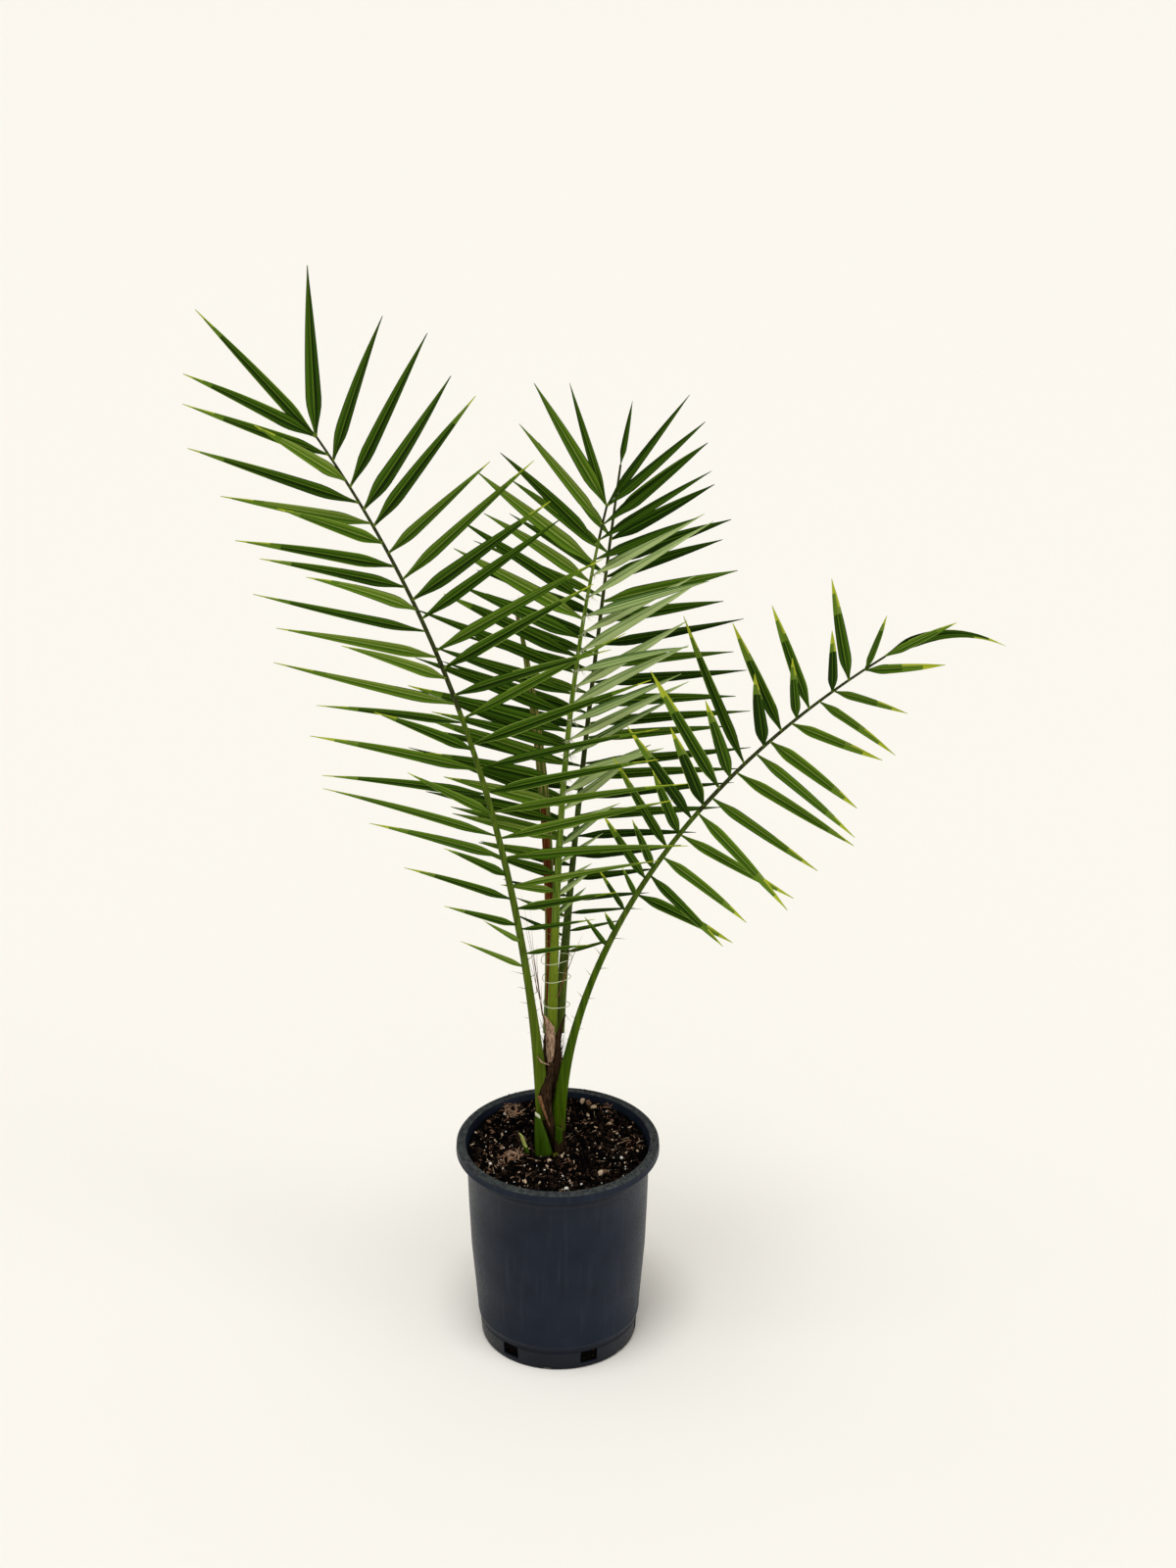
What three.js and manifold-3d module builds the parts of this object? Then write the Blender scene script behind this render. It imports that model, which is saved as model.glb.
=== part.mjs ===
// Potted silver date palm: a young feather palm with four fronds and one closed new leaf, growing
// in a tapered nursery pot with a rolled rim. Units are millimetres, +Z is up, and the origin is the
// middle of the pot's flat underside. The photograph looks along +Y, with +X to the right.
import * as THREE from 'three';
import { mergeVertices } from 'three/addons/utils/BufferGeometryUtils.js';
import Module from 'manifold-3d';

const wasm = await Module();
wasm.setup();

// Nursery pot
const POT = {
  height: 274,
  rimRadius: 125,
  rimBandHeight: 12,
  rimEdgeRound: 2,
  smallEdge: 1,
  mouthRadius: 113,
  shoulderRadius: 113,
  shoulderDrop: 26,
  shoulderStep: 1.2,
  waistRadius: 108,
  waistHeight: 130,
  baseRadius: 97,
  footBandHeight: 30,
  footBandSpread: 2,
  footBandStep: 1,
  footRound: 4,
  throat: 2,
  wall: 3,
  floor: 4,
  sides: 48,
};
// Six low drainage windows in the foot of the wall
const DRAIN = { count: 6, firstAngle: -68, width: 17, height: 18, sill: 8, reach: 24 };
// Potting mix
const SOIL = { level: 261, crown: 3, flatShare: 0.6, gap: 0.3 };
// Clearance between two pieces that touch on the real plant
const SEAT_GAP = 0.3;

// Short sheathed stem that carries the centre leaves
const STEM = {
  foot: [-9, 18], top: [-6, 18.5], topHeight: 413.2,
  baseRadius: 14, topRadius: 12.5, flare: 4, flarePower: 4, sides: 10, steps: 7,
};

// Fronds. Lengths are along the midrib from its foot, angles are degrees. The heading is the compass
// direction that the midrib leans to, the rise is its steepness, and the roll turns the blade about the
// midrib. Both go from the foot's value to the tip's. The three angles are those that a side's first,
// middle and last leaflet make with the midrib. A rank is one plane of leaflets, given by how far they
// lift out of the blade, how much wider they open and how long they are beside the others, and
// successive leaflets take the ranks in turn.
const FRONDS = {
  frond_front: {
    foot: [-7, 12, 414], length: 695, heading: [-14, -14], rise: [88.2, 77], bend: 2,
    roll: [106, 102], stalk: 6, tip: 1.3, flare: 0, seed: 83, color: 0x4f7d33,
    right: {
      count: 24, first: 0.24, last: 1, angles: [44, 50, 27],
      length: 170, width: 14, baseShare: 0.3, tipShare: 0.9, peak: 0.55,
      ranks: [[-8, 2, 1], [12, -2, 1], [24, 4, 1]], turn: 155, droop: 0.03,
    },
    left: {
      count: 24, first: 0.22, last: 1, angles: [74, 69, 40],
      length: 188, width: 15, baseShare: 0.3, tipShare: 0.9, peak: 0.4,
      ranks: [[-10, 0, 1], [10, -2, 0.95], [2, 2, 1.03]], turn: 0, droop: 0.03,
    },
    ends: [
      { angle: -29, length: 155, width: 12, droop: 0.03 },
      { angle: 20, length: 165, width: 12, droop: 0.03 },
    ],
  },
  frond_rear: {
    foot: [1, 22, 414], length: 703, heading: [55, 55], rise: [83.4, 76.4], bend: 0.8,
    roll: [28, 34], stalk: 5, tip: 1.3, flare: 0, seed: 131, color: 0x35602a,
    right: {
      count: 23, first: 0.15, last: 0.91, angles: [68, 74, 40],
      length: 188, width: 13, baseShare: 0.36, tipShare: 0.8, peak: 0.42,
      ranks: [[4, 1, 1], [14, -1, 1]], turn: 0, droop: 0.02,
    },
    left: {
      count: 22, first: 0.18, last: 0.88, angles: [72, 74, 44],
      length: 205, width: 13, baseShare: 0.33, tipShare: 0.7, peak: 0.42,
      ranks: [[4, 2, 1], [20, -3, 0.95], [10, 1, 1]], turn: 0, droop: 0.02,
    },
    ends: [{ angle: 3, length: 76, width: 14, droop: 0.02 }],
  },
  frond_right: {
    foot: [-2, 4, 262], length: 793, heading: [-15, 5], rise: [87.8, 32.9], bend: 1,
    roll: [90, 80], stalk: 5.6, tip: 1.3, flare: 2.6, seed: 47, color: 0x3f6f2c,
    right: {
      count: 14, first: 0.473, last: 1, angles: [86, 68, 2],
      length: 160, width: 11, baseShare: 0.8, tipShare: 0.55, peak: 0.35,
      ranks: [[6, -3, 1], [26, 3, 1], [14, 0, 0.94]], turn: 0, droop: 0.05,
    },
    left: {
      count: 20, first: 0.372, last: 0.965, angles: [48, 63, 52],
      length: 185, width: 11, baseShare: 0.25, tipShare: 0.66, peak: 0.5,
      ranks: [[16, 5, 1.08], [30, -5, 0.68]], turn: 0, droop: 0.02,
    },
    ends: [{ angle: 0, length: 165, width: 13, droop: 0.5 }],
  },
  frond_left: {
    foot: [-13.5, 5, 262], length: 1006, heading: [205, 205], rise: [85.9, 58.9], bend: 1.4,
    roll: [-105, -112], stalk: 5.8, tip: 1.3, flare: 4.5, seed: 11, color: 0x447530, clasps: 'frond_right',
    right: {
      count: 23, first: 0.277, last: 1, angles: [84, 66, 26],
      length: 240, width: 13, baseShare: 0.32, tipShare: 0.9, peak: 0.22,
      ranks: [[8, 1, 1], [20, -1, 1]], turn: 0, droop: 0.03,
    },
    left: {
      count: 25, first: 0.257, last: 1, angles: [48, 46, 20],
      length: 200, width: 12, baseShare: 0.42, tipShare: 0.84, peak: 0.3,
      ranks: [[6, 3, 1.08], [36, -9, 0.84], [16, 3, 1]], turn: 0, droop: 0.03,
    },
    ends: [{ angle: -7, length: 202, width: 13, droop: 0.03 }],
  },
};
// Closed new leaf, a striped rod that splits at its tip
const SPEAR = {
  foot: [-12, 21, 414], length: 561, heading: [172, 172], rise: [92.6, 79.4], bend: 1.2, roll: [0, 0],
  baseRadius: 4.2, fullRadius: 5.6, full: 0.6, tipRadius: 1.2, tipPower: 1.6,
  split: 0.9, prongLength: 70, prongSpread: 6, prongRadius: 1.8,
  sides: 6, steps: 14, prongSides: 3, prongSteps: 2,
};

// How late the leaflets close up towards the tip
const ANGLE_EASE = 0.6;
// Leaflet blade: folded along its midrib like a shallow gutter, opening to the frond's upper face
const LEAFLET = {
  fold: 0.42, thickness: 2.4, thinning: 0.6, slenderness: 85, minimum: 0.55, fullWidthFrom: 120,
};
// Sections of the blade from root to tip: how far along they are, and their share of the full width
const LEAFLET_SECTIONS = [[0, 0.4], [0.22, 0.97], [0.62, 0.82], [1, 0]];
// Spines on the stalk below the leaflets
const SPINE = { count: 6, first: 0.13, radius: 1.1, shortest: 9, longest: 34, angle: 58, lift: 25 };
// Midribs are followed in equal steps, and their solids take a section every few of them
const STEPS = 96;
const RIB_SECTIONS = 16;
const RIB_SIDES = 7;
const RIB_FLATNESS = 0.78;
const RIB_TAPER = 0.9;
const RIB_FLARE = { end: 0.22, power: 1.5 };
// An end leaflet that leaves its midrib by less than this lies flat in the frond's blade
const STRAIGHT_END = 20;
// A leaflet that comes this near to another frond is lifted or lowered in small steps, or else left
// out. It is tried at these shares of its length, against every few steps of the other midribs.
const CLEARANCE = 12;
const CHECKED_SHARES = [0, 0.33, 0.67, 1];
const CHECKED_EVERY = 8;
const LIFT_STEP = 5;
const LIFT_TRIES = 8;
// Seeded spread of the leaflets
const SPREAD = { place: 0.2, lift: 5, angle: 3, length: 0.09, turn: 18, droop: 0.7 };
const SEED = { perLeaflet: 7, leftSide: 300 };

const TINY = 1e-6;
const radians = THREE.MathUtils.degToRad;
const mix = THREE.MathUtils.lerp;
const vector = (x, y, z) => new THREE.Vector3(x, y, z);

// A repeatable number between -1 and 1 for each whole number
function jitter(index) {
  const value = Math.sin(index * 12.9898) * 43758.5453;
  return 2 * (value - Math.floor(value)) - 1;
}

function smooth(x) {
  return x * x * (3 - 2 * x);
}

// Solids
function toSolid(geometry) {
  geometry.deleteAttribute('normal');
  geometry.deleteAttribute('uv');
  const merged = mergeVertices(geometry, 1e-4);
  const mesh = new wasm.Mesh({
    numProp: 3,
    vertProperties: new Float32Array(merged.attributes.position.array),
    triVerts: new Uint32Array(merged.index.array),
  });
  return new wasm.Manifold(mesh);
}

function toGeometry(solid) {
  const mesh = solid.getMesh();
  const geometry = new THREE.BufferGeometry();
  geometry.setAttribute('position', new THREE.BufferAttribute(new Float32Array(mesh.vertProperties), 3));
  geometry.setIndex(new THREE.BufferAttribute(new Uint32Array(mesh.triVerts), 1));
  geometry.computeVertexNormals();
  return geometry;
}

// A closed limb: a cylinder or cone whose rings are put where place(share, angle, reach) says.
// share runs from 0 at the foot to 1 at the tip, and reach is 0 on the axis and 1 on the skin.
function limbGeometry(sides, steps, pointed, place) {
  const geometry = pointed
    ? new THREE.ConeGeometry(1, 1, sides, steps)
    : new THREE.CylinderGeometry(1, 1, 1, sides, steps);
  const position = geometry.attributes.position;
  for (let i = 0; i < position.count; i += 1) {
    const share = position.getY(i) + 0.5;
    const ring = pointed ? 1 - share : 1;
    const radius = Math.hypot(position.getX(i), position.getZ(i));
    const reach = radius > TINY && ring > TINY ? 1 : 0;
    const angle = Math.atan2(position.getX(i), position.getZ(i));
    const point = place(share, angle, reach);
    position.setXYZ(i, point.x, point.y, point.z);
  }
  return geometry;
}

// The limb's solid, with its faces turned out
function limbSolid(sides, steps, pointed, place) {
  const solid = toSolid(limbGeometry(sides, steps, pointed, place));
  if (solid.volume() > 0) return solid;
  const mirrored = (share, angle, reach) => place(share, -angle, reach);
  return toSolid(limbGeometry(sides, steps, pointed, mirrored));
}

// Midribs
function frameAt(rib, share) {
  const rise = radians(mix(rib.rise[0], rib.rise[1], share ** rib.bend));
  const heading = radians(mix(rib.heading[0], rib.heading[1], share));
  const roll = radians(mix(rib.roll[0], rib.roll[1], share));
  const forward = vector(Math.cos(heading), Math.sin(heading), 0);
  const along = forward.clone().multiplyScalar(Math.cos(rise)).setZ(Math.sin(rise));
  const upper = forward.clone().multiplyScalar(-Math.sin(rise)).setZ(Math.cos(rise));
  const level = vector(Math.sin(heading), -Math.cos(heading), 0);
  const across = level.clone().multiplyScalar(Math.cos(roll)).addScaledVector(upper, -Math.sin(roll));
  const face = upper.multiplyScalar(Math.cos(roll)).addScaledVector(level, Math.sin(roll));
  return { along, across, face };
}

function midrib(rib) {
  const points = [vector(...rib.foot)];
  for (let i = 0; i < STEPS; i += 1) {
    const { along } = frameAt(rib, (i + 0.5) / STEPS);
    points.push(points[i].clone().addScaledVector(along, rib.length / STEPS));
  }
  return points;
}

function pointAt(points, share) {
  const place = share * STEPS;
  const index = Math.min(Math.floor(place), STEPS - 1);
  return points[index].clone().lerp(points[index + 1], place - index);
}

function ribRadius(frond, share) {
  const shaft = mix(frond.stalk, frond.tip, share ** RIB_TAPER);
  return shaft + frond.flare * Math.max(0, 1 - share / RIB_FLARE.end) ** RIB_FLARE.power;
}

// A midrib's solid, grown all round by the given allowance
function ribSolid(frond, points, allowance) {
  return limbSolid(RIB_SIDES, RIB_SECTIONS, false, (share, angle, reach) => {
    const frame = frameAt(frond, share);
    const radius = reach * (ribRadius(frond, share) + allowance);
    const point = pointAt(points, share);
    point.addScaledVector(frame.across, radius * Math.cos(angle));
    return point.addScaledVector(frame.face, radius * RIB_FLATNESS * Math.sin(angle));
  });
}

const ribLines = {};
for (const [name, frond] of Object.entries(FRONDS)) {
  ribLines[name] = midrib(frond);
}

// Leaflets
function lengthShare(side, share) {
  if (share < side.peak) return mix(side.baseShare, 1, smooth(share / side.peak));
  return mix(1, side.tipShare, smooth((share - side.peak) / (1 - side.peak)));
}

// A smooth run through the first, middle and last angle, quickest near the tip
function openingAngle([first, middle, last], share) {
  const x = 1 - (1 - share) ** ANGLE_EASE;
  return first * (2 * x - 1) * (x - 1) + middle * 4 * x * (1 - x) + last * x * (2 * x - 1);
}

// The way a leaflet points, from its angle to the midrib and its lift out of the blade
function leafletDirection(frame, sign, angle, lift) {
  const outward = frame.across.clone().multiplyScalar(sign * Math.cos(lift));
  outward.addScaledVector(frame.face, Math.sin(lift));
  return frame.along.clone().multiplyScalar(Math.cos(angle)).addScaledVector(outward, Math.sin(angle));
}

// The leaflet's centre line, which sags towards its tip
function leafletPoint(leaflet, share) {
  const point = leaflet.root.clone().addScaledVector(leaflet.direction, leaflet.length * share);
  point.z -= leaflet.length * leaflet.droop * share * share;
  return point;
}

function leafletLine(leaflet) {
  return CHECKED_SHARES.map((share) => leafletPoint(leaflet, share));
}

// The shortest distance between two straight stretches
function stretchGap(a, b) {
  const clamp = (x) => Math.min(Math.max(x, 0), 1);
  const alongA = a[1].clone().sub(a[0]);
  const alongB = b[1].clone().sub(b[0]);
  const apart = a[0].clone().sub(b[0]);
  const lengthA = alongA.dot(alongA);
  const lengthB = alongB.dot(alongB);
  const cross = alongA.dot(alongB);
  const leanA = alongA.dot(apart);
  const leanB = alongB.dot(apart);
  const spread = lengthA * lengthB - cross * cross;
  let shareA = spread > TINY ? clamp((cross * leanB - leanA * lengthB) / spread) : 0;
  let shareB = (cross * shareA + leanB) / lengthB;
  if (shareB < 0) {
    shareB = 0;
    shareA = clamp(-leanA / lengthA);
  } else if (shareB > 1) {
    shareB = 1;
    shareA = clamp((cross - leanA) / lengthA);
  }
  return apart.addScaledVector(alongA, shareA).addScaledVector(alongB, -shareB).length();
}

function lineIsClear(line, others) {
  return others.every((other) => {
    for (let i = 0; i + 1 < line.length; i += 1) {
      for (let j = 0; j + 1 < other.length; j += 1) {
        if (stretchGap([line[i], line[i + 1]], [other[j], other[j + 1]]) < CLEARANCE) return false;
      }
    }
    return true;
  });
}

// One leaflet of a side, lifted or lowered until it is clear of the other fronds
function growLeaflet(frond, side, sign, index, points, others) {
  const number = frond.seed + index * SEED.perLeaflet + (sign < 0 ? SEED.leftSide : 0);
  const share = index / (side.count - 1);
  const spacing = (side.last - side.first) / (side.count - 1);
  const inner = index > 0 && index < side.count - 1;
  const place = mix(side.first, side.last, share) + (inner ? SPREAD.place * spacing * jitter(number) : 0);
  const frame = frameAt(frond, place);
  const [rankLift, rankAngle, rankLength] = side.ranks[index % side.ranks.length];
  const lift = rankLift + SPREAD.lift * jitter(number + 1);
  const angle = radians(openingAngle(side.angles, share) + rankAngle + SPREAD.angle * jitter(number + 2));
  const leaflet = {
    root: pointAt(points, place),
    length: side.length * lengthShare(side, share) * rankLength * (1 + SPREAD.length * jitter(number + 3)),
    width: side.width,
    turn: side.turn + SPREAD.turn * jitter(number + 4),
    droop: side.droop * (1 + SPREAD.droop * jitter(number + 5)),
    along: frame.along,
    sign,
  };
  for (let attempt = 0; attempt <= LIFT_TRIES; attempt += 1) {
    const change = LIFT_STEP * Math.ceil(attempt / 2) * (attempt % 2 ? 1 : -1);
    leaflet.direction = leafletDirection(frame, sign, angle, radians(lift + change));
    if (lineIsClear(leafletLine(leaflet), others)) return leaflet;
  }
  return null;
}

// The leaflet or pair that ends the frond
function endLeaflets(frond, points) {
  const frame = frameAt(frond, 1);
  return frond.ends.map((end) => ({
    root: points[STEPS],
    length: end.length,
    width: end.width,
    turn: 0,
    droop: end.droop,
    along: Math.abs(end.angle) > STRAIGHT_END ? frame.along : frame.across,
    sign: Math.sign(end.angle) || 1,
    direction: leafletDirection(frame, 1, radians(end.angle), 0),
  }));
}

function growFrond(frond, points, others) {
  const grown = endLeaflets(frond, points);
  for (const [side, sign] of [[frond.right, 1], [frond.left, -1]]) {
    for (let index = 0; index < side.count; index += 1) {
      const leaflet = growLeaflet(frond, side, sign, index, points, others);
      if (leaflet) grown.push(leaflet);
    }
  }
  return grown;
}

function leafletSolid(leaflet) {
  const thickness = Math.max(LEAFLET.thickness, leaflet.length / LEAFLET.slenderness);
  const size = Math.max(LEAFLET.minimum, Math.min(1, leaflet.length / LEAFLET.fullWidthFrom));
  const halfWidth = 0.5 * leaflet.width * size;
  const edge = leaflet.along.clone().projectOnPlane(leaflet.direction).normalize();
  const face = leaflet.direction.clone().cross(edge).multiplyScalar(leaflet.sign);
  edge.applyAxisAngle(leaflet.direction, radians(leaflet.turn));
  face.applyAxisAngle(leaflet.direction, radians(leaflet.turn));
  const last = LEAFLET_SECTIONS.length - 1;
  return limbSolid(4, last, true, (step, angle, reach) => {
    const [share, widthShare] = LEAFLET_SECTIONS[Math.round(step * last)];
    const width = reach * halfWidth * widthShare;
    const taper = reach * (1 - LEAFLET.thinning * share);
    const fold = LEAFLET.fold * width * Math.abs(Math.cos(angle));
    const rise = fold + 0.5 * thickness * taper * Math.sin(angle);
    const point = leafletPoint(leaflet, share);
    point.addScaledVector(edge, width * Math.cos(angle));
    return point.addScaledVector(face, rise);
  });
}

// Spines, which grow longer up the stalk until the leaflets begin
function spineSolids(frond, points) {
  const solids = [];
  for (const [side, sign] of [[frond.right, 1], [frond.left, -1]]) {
    for (let index = 0; index < SPINE.count; index += 1) {
      const share = (index + 0.5) / SPINE.count;
      const place = mix(SPINE.first, side.first, share);
      const frame = frameAt(frond, place);
      const spine = {
        root: pointAt(points, place),
        length: mix(SPINE.shortest, SPINE.longest, share) + ribRadius(frond, place),
        droop: 0,
        direction: leafletDirection(frame, sign, radians(SPINE.angle), radians(SPINE.lift)),
      };
      solids.push(limbSolid(3, 1, true, (along, angle, reach) => {
        const point = leafletPoint(spine, along);
        point.addScaledVector(frame.along, reach * SPINE.radius * Math.cos(angle));
        return point.addScaledVector(frame.face, reach * SPINE.radius * Math.sin(angle));
      }));
    }
  }
  return solids;
}

// A frond in one piece, its stalk cut clear of the one that it clasps at its foot
function frondSolid(frond, points, leaflets) {
  const pieces = [ribSolid(frond, points, 0), ...leaflets.map(leafletSolid), ...spineSolids(frond, points)];
  const whole = pieces.reduce((grown, piece) => grown.add(piece));
  if (!frond.clasps) return whole;
  return whole.subtract(ribSolid(FRONDS[frond.clasps], ribLines[frond.clasps], SEAT_GAP));
}

// Pot
function potProfile() {
  const lipBottom = POT.height - POT.rimBandHeight;
  const shoulder = POT.height - POT.shoulderDrop;
  const round = POT.rimEdgeRound;
  const small = POT.smallEdge;
  const footBand = POT.baseRadius + POT.footBandSpread;
  const outer = [
    [0, 0],
    [POT.baseRadius - POT.footRound, 0],
    [POT.baseRadius, POT.footRound],
    [footBand, POT.footBandHeight],
    [footBand + POT.footBandStep, POT.footBandHeight + small],
    [POT.waistRadius, POT.waistHeight],
    [POT.shoulderRadius - POT.shoulderStep, shoulder - small],
    [POT.shoulderRadius, shoulder],
    [POT.shoulderRadius + small / 2, lipBottom],
    [POT.rimRadius - small, lipBottom],
    [POT.rimRadius, lipBottom + small],
    [POT.rimRadius, POT.height - round],
    [POT.rimRadius - round, POT.height],
  ];
  const inner = [
    [POT.mouthRadius + small, POT.height],
    [POT.mouthRadius, POT.height - small],
    [POT.shoulderRadius - POT.wall, lipBottom - POT.throat],
    [POT.waistRadius - POT.wall, POT.waistHeight],
    [POT.baseRadius - POT.wall, POT.floor],
    [0, POT.floor],
  ];
  return [...outer, ...inner];
}

// A closed solid of revolution about the pot's axis
function turnedSolid(profile, sides) {
  const geometry = new THREE.LatheGeometry(profile.map(([r, z]) => new THREE.Vector2(r, z)), sides);
  geometry.rotateX(Math.PI / 2);
  const solid = toSolid(geometry);
  if (solid.volume() > 0) return solid;
  return toSolid(new THREE.LatheGeometry(
    [...profile].reverse().map(([r, z]) => new THREE.Vector2(r, z)), sides,
  ).rotateX(Math.PI / 2));
}

function drainWindow(index) {
  const angle = radians(DRAIN.firstAngle + (360 / DRAIN.count) * index);
  const box = new THREE.BoxGeometry(DRAIN.reach, DRAIN.width, DRAIN.height);
  box.translate(POT.baseRadius, 0, DRAIN.sill + DRAIN.height / 2);
  box.rotateZ(angle);
  return toSolid(box);
}

function potSolid() {
  let pot = turnedSolid(potProfile(), POT.sides);
  for (let index = 0; index < DRAIN.count; index += 1) {
    pot = pot.subtract(drainWindow(index));
  }
  return pot;
}

// Radius of the pot's inside at a height
function insideRadius(height) {
  const waist = POT.waistRadius - POT.wall;
  if (height < POT.waistHeight) {
    return mix(POT.baseRadius - POT.wall, waist, (height - POT.floor) / (POT.waistHeight - POT.floor));
  }
  const top = POT.height - POT.rimBandHeight - POT.throat;
  return mix(waist, POT.shoulderRadius - POT.wall, (height - POT.waistHeight) / (top - POT.waistHeight));
}

function soilSolid() {
  const edge = insideRadius(SOIL.level) - SOIL.gap;
  const profile = [
    [0, POT.floor + SOIL.gap],
    [insideRadius(POT.floor) - 2 * SOIL.gap, POT.floor + SOIL.gap],
    [insideRadius(POT.waistHeight) - 2 * SOIL.gap, POT.waistHeight],
    [edge, SOIL.level - SOIL.crown],
    [SOIL.flatShare * edge, SOIL.level],
    [0, SOIL.level],
  ];
  return turnedSolid(profile, POT.sides);
}

// Stem, cut clear of the two outer stalks that clasp it
function stemSolid(clasping) {
  const bottom = SOIL.level + SEAT_GAP;
  const stem = limbSolid(STEM.sides, STEM.steps, false, (share, angle, reach) => {
    const flare = STEM.flare * (1 - share) ** STEM.flarePower;
    const radius = reach * (mix(STEM.baseRadius, STEM.topRadius, share) + flare);
    const x = mix(STEM.foot[0], STEM.top[0], share) + radius * Math.cos(angle);
    const y = mix(STEM.foot[1], STEM.top[1], share) + radius * Math.sin(angle);
    return vector(x, y, mix(bottom, STEM.topHeight, share));
  });
  return clasping.reduce((whole, stalk) => whole.subtract(stalk), stem);
}

// Cut stalks and the young shoot: short tapering limbs that stand on the potting mix
const STUBS = {
  cut_stub_front: { foot: [-16.4, -12], top: [-24.5, -11], width: 22.5, topWidth: 6, depth: 11, height: 57 },
  cut_stub_side: { foot: [1, -8.5], top: [1.5, -8.5], width: 9, topWidth: 8, depth: 7, height: 36 },
  side_shoot: { foot: [-36, -11], top: [-44.5, -12], width: 6, topWidth: 5, depth: 6, height: 28 },
};
const STUB_SIDES = 8;
const STUB_STEPS = 3;

function stubSolid(stub) {
  const bottom = SOIL.level + SEAT_GAP;
  return limbSolid(STUB_SIDES, STUB_STEPS, false, (share, angle, reach) => {
    const halfWidth = 0.5 * reach * mix(stub.width, stub.topWidth, share);
    const halfDepth = 0.5 * reach * mix(stub.depth, Math.min(stub.depth, stub.topWidth), share);
    const x = mix(stub.foot[0], stub.top[0], share) + halfWidth * Math.cos(angle);
    const y = mix(stub.foot[1], stub.top[1], share) + halfDepth * Math.sin(angle);
    return vector(x, y, bottom + stub.height * share);
  });
}

// Closed new leaf
function spearRadius(share) {
  if (share < SPEAR.full) return mix(SPEAR.baseRadius, SPEAR.fullRadius, smooth(share / SPEAR.full));
  return mix(SPEAR.fullRadius, SPEAR.tipRadius, ((share - SPEAR.full) / (1 - SPEAR.full)) ** SPEAR.tipPower);
}

function spearSolid(points) {
  const rod = limbSolid(SPEAR.sides, SPEAR.steps, false, (share, angle, reach) => {
    const frame = frameAt(SPEAR, share);
    const radius = reach * spearRadius(share);
    const point = pointAt(points, share);
    point.addScaledVector(frame.across, radius * Math.cos(angle));
    return point.addScaledVector(frame.face, radius * Math.sin(angle));
  });
  const frame = frameAt(SPEAR, SPEAR.split);
  const prongs = [-1, 1].map((sign) => {
    const { prongSides, prongSteps } = SPEAR;
    return limbSolid(prongSides, prongSteps, true, (share, angle, reach) => {
      const point = pointAt(points, SPEAR.split).addScaledVector(frame.along, SPEAR.prongLength * share);
      const radius = SPEAR.prongRadius * reach * (1 - share);
      point.addScaledVector(frame.face, sign * SPEAR.prongSpread * share + radius * Math.cos(angle));
      return point.addScaledVector(frame.across, radius * Math.sin(angle));
    });
  });
  return prongs.reduce((whole, prong) => whole.add(prong), rod);
}

// Assembly
const palm = new THREE.Group();
palm.name = 'potted_silver_date_palm';

function addPiece(name, solid, color, roughness) {
  const material = new THREE.MeshStandardMaterial({ color, roughness, metalness: 0 });
  const mesh = new THREE.Mesh(toGeometry(solid), material);
  mesh.name = name;
  palm.add(mesh);
}

const spearLine = midrib(SPEAR);
const someOf = (points) => points.filter((point, index) => index % CHECKED_EVERY === 0);

addPiece('pot', potSolid(), 0x23282e, 0.5);
addPiece('soil', soilSolid(), 0x2a211b, 0.95);
const clasping = ['frond_left', 'frond_right'].map(
  (name) => ribSolid(FRONDS[name], ribLines[name], SEAT_GAP),
);
addPiece('stem', stemSolid(clasping), 0x6b4a33, 0.9);
for (const [name, stub] of Object.entries(STUBS)) {
  addPiece(name, stubSolid(stub), 0x4d7f2a, 0.6);
}
addPiece('spear', spearSolid(spearLine), 0x8a8a4a, 0.7);

const grownLines = {};
for (const [name, frond] of Object.entries(FRONDS)) {
  const others = [someOf(spearLine)];
  for (const other of Object.keys(FRONDS)) {
    if (other !== name) others.push(someOf(ribLines[other]), ...(grownLines[other] || []));
  }
  const leaflets = growFrond(frond, ribLines[name], others);
  grownLines[name] = leaflets.map(leafletLine);
  addPiece(name, frondSolid(frond, ribLines[name], leaflets), frond.color, 0.55);
}

export default palm;
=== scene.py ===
# %% [markdown]
# # Potted silver date palm
# A young feather palm stands in a nursery pot. Four fronds and one closed new leaf grow from a short
# stem wrapped in dry sheaths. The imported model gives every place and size. This lesson dresses it:
# fine leaflets for the fronds, fibrous sheaths for the stem, a smooth moulded pot, and a potting mix
# of crumbs, bark, perlite and roots.

# %% Load the frame
import math

import bmesh
import bpy
import numpy as np
from mathutils import Matrix, Vector, noise


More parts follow.
